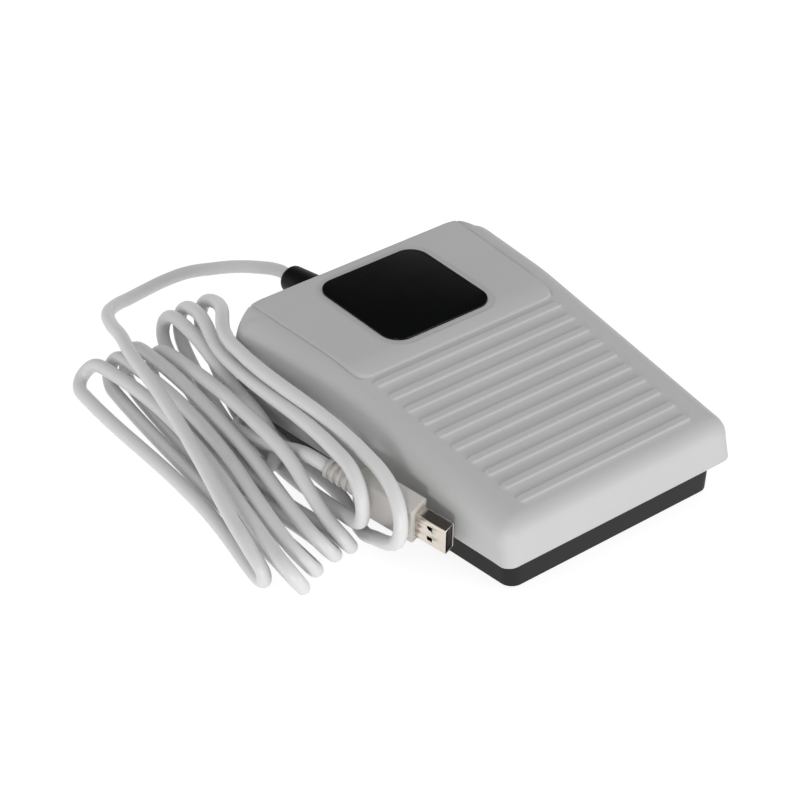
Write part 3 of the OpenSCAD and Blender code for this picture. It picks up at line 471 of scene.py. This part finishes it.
def cover_edge():
    """Half of the way round the top's edge, from the front's middle to the back's:
    row, column, outward direction, radius, and how far the corner sharpens towards the foot."""
    last_row, last_column, middle = len(rows) - 1, columns.shape[1] - 1, columns.shape[1] // 2
    corner_row = int(np.argmin(np.abs(rows - CORNER_Y)))
    plain = (0, 0, 0)
    edge = [(0, c, -math.pi / 2, NOSE_R, plain) for c in range(middle, last_column)]
    sharper = (NOSE_R - FRONT_CORNER_R, 1, -1)
    edge += [(0, last_column, a, NOSE_R, sharper) for a in np.linspace(-math.pi / 2, SIDE_WAY, 9)]
    edge += [(i, last_column, SIDE_WAY, shoulder_radius(rows[i]), plain) for i in range(1, corner_row)]
    first_turns = np.linspace(SIDE_WAY, corner_turns[0], 7)
    edge += [(corner_row, last_column, a, SHOULDER_R, plain) for a in first_turns]
    for i in range(corner_row + 1, last_row):
        turn, r = np.interp(rows[i], corner_rows, corner_turns), np.interp(rows[i], corner_rows, corner_radii)
        edge.append((i, last_column, turn, r, plain))
    for c in range(last_column, middle - 1, -1):
        edge.append((last_row, c, math.pi / 2, BACK_Y - places_y[last_row, c], plain))
    return edge


def cover_side(row, column, way, r, sharper):
    """The cover's section from the top's edge, round the shoulder, down the wall and up inside."""
    x, y, top = columns[row, column], places_y[row, column], heights[row, column]
    out = np.array([math.cos(way), math.sin(way)])
    step = 0.1 * MM
    rise = (plain_height(y + step) - plain_height(y - step)) / (2 * step) * out[1]
    start = -math.atan(rise)
    section = []
    for a in np.linspace(start, math.pi / 2, 11):
        reach = r * (math.sin(a) - math.sin(start))
        section.append((x + out[0] * reach, y + out[1] * reach, top + r * (math.cos(a) - math.cos(start))))
    wall_x, wall_y, wall_z = section[-1]
    amount, side_x, side_y = sharper
    foot_x, foot_y = wall_x + amount * (side_x - out[0]), wall_y + amount * (side_y - out[1])
    foot_z = EDGE_Z
    if way == math.pi / 2 and abs(x) < NOTCH_R:
        foot_z = GLAND_Z + math.sqrt(NOTCH_R ** 2 - x ** 2)
    for t in (1 / 3, 2 / 3):
        z = wall_z + (foot_z + EDGE_ROUND - wall_z) * t
        section.append((wall_x + (foot_x - wall_x) * t, wall_y + (foot_y - wall_y) * t, z))
    foot = [(0, 1), (0.3, 0.3), (1, 0), (COVER_WALL / EDGE_ROUND - 0.6, 0), (COVER_WALL / EDGE_ROUND, 0.6)]
    for inset, lift in foot:
        inset, lift = inset * EDGE_ROUND, lift * EDGE_ROUND
        section.append((foot_x - out[0] * inset, foot_y - out[1] * inset, foot_z + lift))
    inner_r = max(r - COVER_WALL, 0)
    for a in (math.pi / 2, math.pi / 4):
        inset = COVER_WALL + inner_r * (1 - math.sin(a))
        z = top - COVER_WALL - inner_r * (1 - math.cos(a))
        section.append((wall_x - out[0] * inset, wall_y - out[1] * inset, z))
    section.append((x, min(y, INNER_BACK_Y), plain_height(min(y, INNER_BACK_Y)) - COVER_WALL))
    return section


INNER_BACK_Y = BACK_Y - COVER_WALL
rows = top_rows()
columns = np.array([top_columns(y) for y in rows])
places_y = np.array([bent_row(x, y) for x, y in zip(columns, rows)])
heights = top_height(columns, places_y)


def cover_mesh():
    """Points and faces of the cover: its top, its sides and its inside."""
    count_y, count_x = columns.shape
    top = [(columns[i, j], places_y[i, j], heights[i, j]) for i in range(count_y) for j in range(count_x)]
    quads = [
        (i * count_x + j, i * count_x + j + 1, (i + 1) * count_x + j + 1, (i + 1) * count_x + j)
        for i in range(count_y - 1) for j in range(count_x - 1)
    ]
    inner_y = np.minimum(places_y, INNER_BACK_Y)
    roof = [
        (columns[i, j], inner_y[i, j], plain_height(inner_y[i, j]) - COVER_WALL)
        for i in range(count_y) for j in range(count_x)
    ]
    right = [cover_side(*place) for place in cover_edge()]
    left = [[(-x, y, z) for x, y, z in section] for section in right[-2:0:-1]]
    around = right + left
    return joined((top, quads), (roof, [q[::-1] for q in quads]), skin_around(around))


def skin_around(sections):
    """Points and faces of a band made of open sections set side by side in a ring."""
    n, count = len(sections[0]), len(sections)
    points = [p for section in sections for p in section]
    faces = [
        (k * n + i, k * n + i + 1, (k + 1) % count * n + i + 1, (k + 1) % count * n + i)
        for k in range(count) for i in range(n - 1)
    ]
    return points, faces


cover = make_piece("cover", *cover_mesh(), "pedal", "cover_plastic", ["pedal_cover"], crease=50)


# Badge: a plain plate with a softened edge, lying on the rear panel

def on_rear_panel(x, y, lift):
    return (x, y, rear_height(y) + PANEL_RISE + lift)


def badge_mesh():
    levels = [(0, BADGE_PROUD - BADGE_T), (0, BADGE_PROUD - BADGE_EDGE)]
    levels += [
        (BADGE_EDGE * (1 - math.cos(a)), BADGE_PROUD - BADGE_EDGE * (1 - math.sin(a)))
        for a in np.linspace(0, math.pi / 2, 5)[1:]
    ]
    rings = []
    for inset, lift in levels:
        outline = round_corners(BADGE_HALF_W - inset, BADGE_HALF_LEN - inset, BADGE_R - inset, 12)
        rings.append([on_rear_panel(x, BADGE_Y + y, lift) for x, y in outline])
    return skin(rings)


badge = make_piece("badge", *badge_mesh(), "pedal", "badge_acrylic", ["badge_plate"], crease=60)


# Base tray: an open box with drafted walls, a soft lower edge and the tower that holds the gland

TRAY_SIDE = 5.4 * MM
TRAY_END = 5.5 * MM
TRAY_FRONT = 4.4 * MM
TRAY_CORNER_R = 4.5 * MM
TRAY_DRAFT = 1 * MM
TRAY_WALL = 2.5 * MM
TRAY_Z = 0.5 * MM
TRAY_FLOOR_Z = 3 * MM
TRAY_RIM_Z = 16 * MM
TRAY_FOOT_ROUND = 0.4 * MM
TOWER_HALF_W = 13 * MM
TOWER_BACK = 1 * MM
tray_front_y, tray_back_y = FRONT_Y + TRAY_FRONT, BACK_Y - TRAY_END


def tray_ring(z, inset):
    """The tray's outline at a height, drawn in by an inset."""
    r = TRAY_CORNER_R + TRAY_DRAFT * (z - TRAY_Z) / (TRAY_RIM_Z - TRAY_Z) - inset
    ring = []
    back, front = tray_back_y - TRAY_CORNER_R, tray_front_y + TRAY_CORNER_R
    for turn, (side, y) in enumerate([(1, back), (-1, back), (-1, front), (1, front)]):
        x = side * (half_width(y) - TRAY_SIDE - TRAY_CORNER_R)
        for a in np.linspace(turn * math.pi / 2, (turn + 1) * math.pi / 2, 9):
            ring.append((x + r * math.cos(a), y + r * math.sin(a), z))
    return ring


def tower_mesh():
    """The upright at the back that the gland passes through."""
    arch = [
        (TOWER_HALF_W * math.cos(a), GLAND_Z + TOWER_HALF_W * math.sin(a))
        for a in np.linspace(0, math.pi, 25)
    ]
    outline = [*arch, (-TOWER_HALF_W, TRAY_FLOOR_Z), (TOWER_HALF_W, TRAY_FLOOR_Z)]
    low_y, high_y = tray_back_y - TRAY_WALL, tray_back_y + TOWER_BACK
    return skin([[(x, y, z) for x, z in outline] for y in (high_y, low_y)])


def tray_mesh():
    foot = [
        (TRAY_Z + TRAY_FOOT_ROUND * (1 - math.cos(a)), TRAY_FOOT_ROUND * (1 - math.sin(a)))
        for a in np.linspace(0, math.pi / 2, 6)
    ]
    levels = [*foot, (TRAY_RIM_Z, 0), (TRAY_RIM_Z, TRAY_WALL), (TRAY_FLOOR_Z, TRAY_WALL)]
    return joined(skin([tray_ring(z, inset) for z, inset in levels]), tower_mesh())


tray = make_piece("base", *tray_mesh(), "base", "base_plastic", ["base_tray"])


# Gland: a tapered rubber sleeve with a collar where it enters the cover and a rounded tip

GLAND_ROOT_R = 9.2 * MM
GLAND_COLLAR_R = 9.6 * MM
GLAND_TIP_R = 5.2 * MM
GLAND_TIP_ROUND = 2 * MM
GLAND_LIP = 0.35 * MM
GLAND_COLLAR_STEP = 0.4 * MM
GLAND_COLLAR_BEVEL = 0.1 * MM
GLAND_ROOT_STEP = 0.6 * MM
GLAND_BORE_GAP = 0.02 * MM
GLAND_BORE_LEN = 6 * MM


def gland_mesh():
    end = CORD_EXIT[1]
    collar_y = tray_back_y + TOWER_BACK
    profile = [
        (GLAND_TIP_R, collar_y), (GLAND_COLLAR_R, collar_y), (GLAND_COLLAR_R, BACK_Y - GLAND_COLLAR_STEP),
        (GLAND_COLLAR_R - GLAND_COLLAR_BEVEL, BACK_Y), (GLAND_ROOT_R, BACK_Y + GLAND_ROOT_STEP),
    ]
    taper = GLAND_ROOT_R - GLAND_TIP_R
    for t in np.linspace(0, 1, 9)[1:-1]:
        profile.append((GLAND_ROOT_R - taper * t, BACK_Y + (end - GLAND_TIP_ROUND - BACK_Y) * t))
    for a in np.linspace(0, math.pi / 2, 8):
        r = GLAND_TIP_R - GLAND_TIP_ROUND * (1 - math.cos(a))
        profile.append((r, end - GLAND_TIP_ROUND * (1 - math.sin(a))))
    bore_r = CORD_R + GLAND_BORE_GAP
    profile += [(CORD_R + GLAND_LIP, end), (bore_r, end - GLAND_LIP), (bore_r, end - GLAND_BORE_LEN)]
    return turned(profile, 64, Matrix.Translation((0, 0, GLAND_Z)))


gland = make_piece("gland", *gland_mesh(), "base", "gland_rubber", ["cord_gland"])


# Plug: a soft moulding with a ribbed sleeve, and a folded sheet shell with windows

MOULD_HALF_T = 4 * MM
MOULD_HALF_W = 8 * MM
MOULD_Y = 11.75 * MM
MOULD_LEN = 24.25 * MM
MOULD_EDGE = 1.2 * MM
MOULD_LIP = 0.6 * MM
GRIP_END = 0.66
GRIP_TAPER = 0.31
GRIP_THIN = 0.6 * MM
GRIP_NARROW = 1.6 * MM
MOULD_END_BEVEL = 0.2 * MM
SLEEVE_R = 3.9 * MM
SLEEVE_GROOVE_R = 3 * MM
SLEEVE_RINGS = 4
SLEEVE_RING_SHARE = 0.35
SLEEVE_TAPER = 0.1 * MM
SLEEVE_TIP = 0.3 * MM
SHELL_HALF_T = 2.25 * MM
SHELL_HALF_W = 6 * MM
SHELL_LEN = 15.75 * MM
SHELL_SHEET = 0.35 * MM
SHELL_EDGE = 0.7 * MM
SHELL_TIP_LEN = 0.25 * MM
SHELL_TIP_INSET = 0.12 * MM
WINDOW = 2.1 * MM
WINDOW_Y = 6.2 * MM
WINDOW_Z = 2.6 * MM


def moulding_mesh():
    """Sections along the plug: a rounded front, a straight grip, a shoulder and the ribbed sleeve.
    A station is its place along the plug, and how much thinner and narrower it is than the grip."""
    end = MOULD_Y + MOULD_LEN
    stations = []
    for a in np.linspace(0, math.pi / 2, 5):
        inset = MOULD_LIP * (1 - math.sin(a))
        stations.append((MOULD_Y + MOULD_LIP * (1 - math.cos(a)), inset, inset))
    for t in np.linspace(0, 1, 9):
        along = MOULD_Y + MOULD_LEN * (GRIP_END + GRIP_TAPER * t)
        stations.append((along, GRIP_THIN * ease(t), GRIP_NARROW * t * t))
    stations += [(end - MOULD_END_BEVEL, 0.9 * MM, 2.1 * MM), (end, 1.4 * MM, 2.8 * MM)]
    rings = []
    for y, thin, narrow in stations:
        half_t, half_w = MOULD_HALF_T - thin, MOULD_HALF_W - narrow
        outline = round_corners(half_t, half_w, MOULD_EDGE)
        rings.append([plug_place @ Vector((x, y, z)) for x, z in outline])
    sleeve = [(SLEEVE_R, end - 1 * MM)]
    pitch = (PLUG_LEN - end) / (SLEEVE_RINGS + 0.5)
    deep = SLEEVE_R - SLEEVE_GROOVE_R
    for i in range(SLEEVE_RINGS):
        for t in np.linspace(0, 1, 9):
            groove = deep * ease(6 * t - 0.6) * ease(6 * (1 - t) - 0.6) if t < 1 else 0
            along = i + SLEEVE_RING_SHARE + (1 - SLEEVE_RING_SHARE) * t
            sleeve.append((SLEEVE_R - groove - SLEEVE_TAPER * i, end + pitch * along))
    tip_r = SLEEVE_R - SLEEVE_TAPER * SLEEVE_RINGS
    sleeve += [(tip_r, PLUG_LEN - SLEEVE_TIP), (tip_r - 0.4 * MM, PLUG_LEN)]
    return joined(skin(rings), turned(sleeve, 32, plug_place))


def shell_mesh():
    """The shell's sheet, open at both ends, with two windows in each broad side."""
    marks = [-WINDOW_Z - WINDOW / 2, -WINDOW_Z + WINDOW / 2, WINDOW_Z - WINDOW / 2, WINDOW_Z + WINDOW / 2]
    corners = round_corners(SHELL_HALF_T, SHELL_HALF_W, SHELL_EDGE, 5)
    outline = sorted(
        corners + [(sx * SHELL_HALF_T, z) for sx in (-1, 1) for z in marks],
        key=lambda p: math.atan2(p[1], p[0]),
    )
    levels = [0, SHELL_TIP_LEN, WINDOW_Y - WINDOW / 2, WINDOW_Y + WINDOW / 2, SHELL_LEN]
    insets = [SHELL_TIP_INSET, 0, 0, 0, 0]
    rings = []
    for y, inset in zip(levels, insets):
        shrink = 1 - inset / SHELL_HALF_T
        rings.append([plug_place @ Vector((x * shrink, y, z - math.copysign(inset, z))) for x, z in outline])
    points, faces = skin(rings, False, False)
    n = len(outline)
    window_level = levels.index(WINDOW_Y - WINDOW / 2)

    def in_window(face):
        level, z = face[0] // n, sum(outline[i % n][1] for i in face) / 4
        flat = all(abs(abs(outline[i % n][0]) - SHELL_HALF_T) < WELD for i in face)
        return level == window_level and flat and abs(abs(z) - WINDOW_Z) < WINDOW / 4

    return points, [face for face in faces if not in_window(face)]


moulding = make_piece(
    "plug_moulding", *moulding_mesh(), "base", "moulding_vinyl", ["usb_moulding"], crease=50
)
shell = make_piece("plug_shell", *shell_mesh(), "base", "shell_nickel", ["usb_shell"], crease=60)
sheet = shell.modifiers.new("sheet", "SOLIDIFY")
sheet.thickness = SHELL_SHEET
sheet.offset = -1


# Return springs: two wires with a flat turn at each end, built at one fixed length

SPRING_X = 22 * MM
SPRING_Y = FRONT_Y + 34 * MM
SPRING_MEAN_R = 4.45 * MM
SPRING_WIRE_R = 0.55 * MM
SPRING_LOW_Z = TRAY_FLOOR_Z + 0.6 * MM
SPRING_HIGH_Z = 21.4 * MM
SPRING_TURNS = 6
SPRING_END_RISE = 1.27 * MM


def spring_mesh(x):
    open_rise = SPRING_HIGH_Z - SPRING_LOW_Z - 2 * SPRING_END_RISE
    turns = SPRING_TURNS + 2
    rings = []
    for t in np.linspace(0, turns, 24 * turns + 1):
        rise = (min(t, 1) + max(t - turns + 1, 0)) * SPRING_END_RISE
        rise += np.clip(t - 1, 0, SPRING_TURNS) * open_rise / SPRING_TURNS
        a = 2 * math.pi * t
        out, up = Vector((math.cos(a), math.sin(a), 0)), Vector((0, 0, 1))
        middle = Vector((x, SPRING_Y, SPRING_LOW_Z + rise)) + SPRING_MEAN_R * out
        rings.append([
            middle + SPRING_WIRE_R * (math.cos(b) * out + math.sin(b) * up)
            for b in np.linspace(0, 2 * math.pi, 10, endpoint=False)
        ])
    return skin(rings)


springs = make_piece(
    "springs", *joined(spring_mesh(-SPRING_X), spring_mesh(SPRING_X)), "base", "steel", ["return_springs"]
)
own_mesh(springs)


# Finishes

def linear(hex_code):
    """An sRGB hex colour as linear RGBA."""
    parts = [int(hex_code[i:i + 2], 16) / 255 for i in (1, 3, 5)]
    return [c / 12.92 if c <= 0.04045 else ((c + 0.055) / 1.055) ** 2.4 for c in parts] + [1]


def add(tree, kind, inputs, **settings):
    """Adds a node with its settings. An input is a plain value or another node's output."""
    made = tree.nodes.new(kind)
    for name, value in settings.items():
        setattr(made, name, value)
    for socket, value in inputs.items():
        if isinstance(value, bpy.types.NodeSocket):
            tree.links.new(value, made.inputs[socket])
        else:
            made.inputs[socket].default_value = value
    return made


def finish(name, light, dark, drift_mm, grain_mm, rough, bump_mm, stretch=(1, 1, 1), **surface):
    """A surface whose colour drifts between two shades, with a grain that shows in its gloss and its relief.
    Sizes are those of the real drift and grain; stretch draws them out along an axis."""
    material = bpy.data.materials.new(name)
    material.use_nodes = True
    tree = material.node_tree
    tree.nodes.clear()
    place = add(tree, "ShaderNodeTexCoord", {}).outputs["Object"]
    place = add(tree, "ShaderNodeMapping", {"Vector": place, "Scale": stretch}).outputs["Vector"]
    drift = add(tree, "ShaderNodeTexNoise", {"Vector": place, "Scale": 1 / (drift_mm * MM), "Detail": 3})
    grain = add(tree, "ShaderNodeTexNoise", {"Vector": place, "Scale": 1 / (grain_mm * MM), "Detail": 2})
    colour = add(
        tree, "ShaderNodeMix", {0: drift.outputs["Fac"], 6: linear(light), 7: linear(dark)}, data_type="RGBA"
    )
    gloss = add(
        tree, "ShaderNodeMapRange", {"Value": grain.outputs["Fac"], "To Min": rough[0], "To Max": rough[1]}
    )
    relief = add(tree, "ShaderNodeBump", {"Height": grain.outputs["Fac"], "Distance": bump_mm * MM})
    shader = add(tree, "ShaderNodeBsdfPrincipled", {
        "Base Color": colour.outputs[2], "Roughness": gloss.outputs["Result"],
        "Normal": relief.outputs["Normal"], **surface,
    })
    add(tree, "ShaderNodeOutputMaterial", {"Surface": shader.outputs["BSDF"]})
    return material


# ABS, moulded against a spark-eroded steel face: a fine even grain that spreads highlights into a sheen.
# The real grain is about 0.1 mm and is drawn coarser so that it shows.
cover_abs = finish("grey_abs_spark_grain", "#B7B8B7", "#B1B2B1", 30, 0.45, (0.46, 0.6), 0.012, IOR=1.53)
# The same plastic in dark grey: the grain leaves it almost without shine.
base_abs = finish(
    "dark_abs_spark_grain", "#1F1F1E", "#1A1A19", 24, 0.5, (0.5, 0.66), 0.014,
    **{"IOR": 1.53, "Specular IOR Level": 0.2},
)
# Acrylic sheet printed black on its back: a clear gloss over a depthless black.
badge_acrylic = finish(
    "black_back_printed_acrylic", "#0B0C0C", "#090A0A", 40, 6, (0.16, 0.22), 0.002,
    **{"IOR": 1.49, "Specular IOR Level": 0.25},
)
# Black vinyl rubber from a polished mould: satin, with faint flow marks along its taper.
gland_rubber = finish(
    "black_moulded_vinyl_rubber", "#0A0A0A", "#080808", 9, 0.8, (0.4, 0.52), 0.01, (1, 0.3, 1),
    **{"IOR": 1.5, "Specular IOR Level": 0.15},
)
# Soft vinyl drawn through a die: smooth, waxy, a little light passing into it.
cord_vinyl = finish(
    "grey_extruded_soft_vinyl", "#D0D0D0", "#CACACA", 22, 1.6, (0.34, 0.46), 0.012,
    **{"IOR": 1.52, "Subsurface Weight": 0.05, "Subsurface Radius": (0.9 * MM, 0.9 * MM, 0.8 * MM)},
)
# The same vinyl moulded over the plug: a little warmer and darker.
moulding_vinyl = finish(
    "pale_overmoulded_vinyl", "#BDBAB6", "#B6B3AF", 14, 0.7, (0.4, 0.52), 0.01,
    **{"IOR": 1.52, "Subsurface Weight": 0.1, "Subsurface Radius": (0.8 * MM, 0.8 * MM, 0.7 * MM)},
)
# Drawn steel sheet, nickel plated: a warm blurred mirror, with drawing lines along the shell.
shell_nickel = finish(
    "nickel_plated_drawn_steel", "#E2D9CF", "#D8CFC5", 5, 0.25, (0.24, 0.34), 0.002, (1, 0.12, 1), Metallic=1
)
# Steel with bright zinc plating: cool, slightly cloudy.
zinc_steel = finish(
    "zinc_plated_turned_steel", "#BFC2C6", "#B3B7BC", 2.5, 0.3, (0.26, 0.4), 0.004, Metallic=1
)
# Moulded nitrile rubber: no shine, a dusty grain.
foot_rubber = finish("black_moulded_nitrile", "#1F1F1F", "#191919", 5, 0.4, (0.7, 0.85), 0.02, IOR=1.5)
# Glass-filled polyester: hard, dry, with short fibres just under the skin.
switch_polyester = finish(
    "black_glass_filled_polyester", "#1C1C1E", "#161618", 3, 0.25, (0.42, 0.58), 0.008, IOR=1.57
)
# Acetal: waxy and smooth where it slides.
plunger_acetal = finish("red_moulded_acetal", "#B03028", "#A52A22", 2, 0.5, (0.3, 0.4), 0.004, IOR=1.48)
# Punched brass with a thin tin coat: dull gold with grey where the coat is thicker.
contact_brass = finish(
    "tinned_punched_brass", "#CDB676", "#BDB7A2", 1.2, 0.2, (0.24, 0.38), 0.004, Metallic=1
)
# Glass-cloth laminate under a green lacquer: the cloth's weave shows faintly through the gloss.
board_laminate = finish(
    "green_lacquered_glass_laminate", "#1F6038", "#1A5230", 1.1, 0.55, (0.24, 0.36), 0.012, IOR=1.55
)
# Moulded epoxy with fine filler: flat black with a grey bloom.
chip_epoxy = finish("black_filled_epoxy", "#1A1A1A", "#131313", 1.5, 0.2, (0.5, 0.64), 0.006, IOR=1.55)
# Fired ceramic, tan and slightly mottled.
capacitor_ceramic = finish("tan_fired_ceramic", "#BC9E6E", "#AE8E5E", 0.5, 0.15, (0.4, 0.52), 0.004, IOR=1.6)
# Natural nylon: milky, with light passing into its thin walls.
connector_nylon = finish(
    "natural_moulded_nylon", "#EAE6DA", "#E2DDCF", 4, 0.5, (0.36, 0.48), 0.006,
    **{"IOR": 1.53, "Subsurface Weight": 0.15, "Subsurface Radius": (0.6 * MM, 0.6 * MM, 0.5 * MM)},
)
# Thin vinyl sleeving on the leads inside, red and green.
lead_red = finish("red_extruded_vinyl", "#B02A22", "#A3241D", 3, 0.6, (0.34, 0.46), 0.004, IOR=1.52)
core_green = finish("green_extruded_vinyl", "#2E7D3A", "#297034", 3, 0.6, (0.34, 0.46), 0.004, IOR=1.52)
# Moulded nylon with carbon black, for the clamp that holds the cord and the plug's tongue.
black_nylon = finish("black_moulded_nylon", "#2B2B2B", "#242424", 4, 0.4, (0.44, 0.58), 0.01, IOR=1.53)

for made, material in [
    (cover, cover_abs), (badge, badge_acrylic), (tray, base_abs), (gland, gland_rubber), (cord, cord_vinyl),
    (moulding, moulding_vinyl), (shell, shell_nickel), (springs, zinc_steel),
]:
    made.data.materials.append(material)

for material, names in [
    (zinc_steel, ["hinge_pins", "switch_screws", "board_screws", "clamp_screws"]),
    (zinc_steel, ["switch_lever", "crystal_can"]),
    (foot_rubber, ["rubber_feet", "bump_stops"]),
    (switch_polyester, ["switch_case"]),
    (plunger_acetal, ["switch_plunger"]),
    (contact_brass, ["switch_terminals", "usb_contacts"]),
    (board_laminate, ["encoder_board"]),
    (chip_epoxy, ["encoder_chip"]),
    (capacitor_ceramic, ["board_capacitors"]),
    (connector_nylon, ["board_header", "core_plug"]),
    (lead_red, ["switch_wires"]),
    (core_green, ["cord_cores"]),
    (black_nylon, ["cord_clamp", "usb_tongue"]),
    (cord_vinyl, ["cord_inside"]),
]:
    for name in names:
        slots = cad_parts[name].data.materials
        slots.clear()
        slots.append(material)


# Studio: a white lit table that keeps a faint shadow, a white surround, and two low soft lights in front

FLOOR_HALF = 3
FLOOR_GLOW = 0.87
FLOOR_SHADE = 0.24
SURROUND_LIGHT = 0.78
TABLE_LIGHT = 0.42
ROOF_LIGHT = 0.03
ROOF_LOW = 0.12
ROOF_HIGH = 0.42


def seen_directly(tree):
    """1 for what the camera sees, straight or in a reflection or through a clear piece, and 0 for light."""
    ray = add(tree, "ShaderNodeLightPath", {}).outputs
    seen = ray["Is Camera Ray"]
    for other in ("Is Glossy Ray", "Is Transmission Ray"):
        seen = add(tree, "ShaderNodeMath", {0: seen, 1: ray[other]}, operation="MAXIMUM").outputs[0]
    return seen


studio = bpy.data.worlds.new("studio")
bpy.context.scene.world = studio
studio.use_nodes = True
tree = studio.node_tree
tree.nodes.clear()
pure_white = linear("#FFFFFF")
soft_light = add(tree, "ShaderNodeBackground", {"Color": pure_white, "Strength": SURROUND_LIGHT})
white = add(tree, "ShaderNodeBackground", {"Color": pure_white, "Strength": 1})
# Reflections find the white surround near the floor and a dark studio roof above it
roof = add(tree, "ShaderNodeBackground", {"Color": pure_white, "Strength": ROOF_LIGHT})
way = add(tree, "ShaderNodeTexCoord", {}).outputs["Generated"]
height = add(tree, "ShaderNodeSeparateXYZ", {"Vector": way}).outputs["Z"]
height = add(tree, "ShaderNodeMapRange", {"Value": height, "From Min": ROOF_LOW, "From Max": ROOF_HIGH})
mirrored = add(tree, "ShaderNodeLightPath", {}).outputs["Is Glossy Ray"]
under_roof = add(tree, "ShaderNodeMath", {0: height.outputs[0], 1: mirrored}, operation="MULTIPLY")
shown = add(tree, "ShaderNodeMixShader", {0: under_roof.outputs[0], 1: white.outputs[0], 2: roof.outputs[0]})
seen = seen_directly(tree)
both = add(tree, "ShaderNodeMixShader", {0: seen, 1: soft_light.outputs[0], 2: shown.outputs[0]})
add(tree, "ShaderNodeOutputWorld", {"Surface": both.outputs[0]})

# The floor shows as white paper with the object's shadow on it, and lights the object as a lit table
floor_paper = bpy.data.materials.new("white_studio_paper")
floor_paper.use_nodes = True
tree = floor_paper.node_tree
tree.nodes.clear()
glow = add(tree, "ShaderNodeEmission", {"Color": pure_white, "Strength": FLOOR_GLOW})
shade = add(tree, "ShaderNodeBsdfDiffuse", {"Color": (FLOOR_SHADE, FLOOR_SHADE, FLOOR_SHADE, 1)})
shown = add(tree, "ShaderNodeAddShader", {0: glow.outputs[0], 1: shade.outputs[0]})
paper = add(tree, "ShaderNodeBsdfDiffuse", {"Color": linear("#E4E4E4")})
table = add(tree, "ShaderNodeEmission", {"Color": pure_white, "Strength": TABLE_LIGHT})
lit_table = add(tree, "ShaderNodeAddShader", {0: paper.outputs[0], 1: table.outputs[0]})
seen = seen_directly(tree)
both = add(tree, "ShaderNodeMixShader", {0: seen, 1: lit_table.outputs[0], 2: shown.outputs[0]})
add(tree, "ShaderNodeOutputMaterial", {"Surface": both.outputs[0]})

floor_mesh = bpy.data.meshes.new("floor")
corners = [(sx * FLOOR_HALF, sy * FLOOR_HALF, 0) for sx, sy in [(-1, -1), (1, -1), (1, 1), (-1, 1)]]
floor_mesh.from_pydata(corners, [], [(0, 1, 2, 3)])
floor_mesh.materials.append(floor_paper)
floor = bpy.data.objects.new("floor", floor_mesh)
bpy.context.scene.collection.objects.link(floor)


def softbox(name, place, size, watts, colour):
    """A square soft light that looks at the pedal."""
    lamp = bpy.data.lights.new(name, "AREA")
    lamp.size = size
    lamp.energy = watts
    lamp.color = linear(colour)[:3]
    made = bpy.data.objects.new(name, lamp)
    made.location = place
    made.rotation_mode = "QUATERNION"
    made.rotation_quaternion = (Vector((0, 0, 0.02)) - Vector(place)).to_track_quat("-Z", "Y")
    bpy.context.scene.collection.objects.link(made)


softbox("left_front", (-0.95, -0.95, 0.1), 0.18, 5, "#FFFFFF")
softbox("right_front", (0.5, -1.2, 0.25), 0.5, 4.5, "#FFFFFF")

bpy.context.scene.view_settings.view_transform = "Standard"
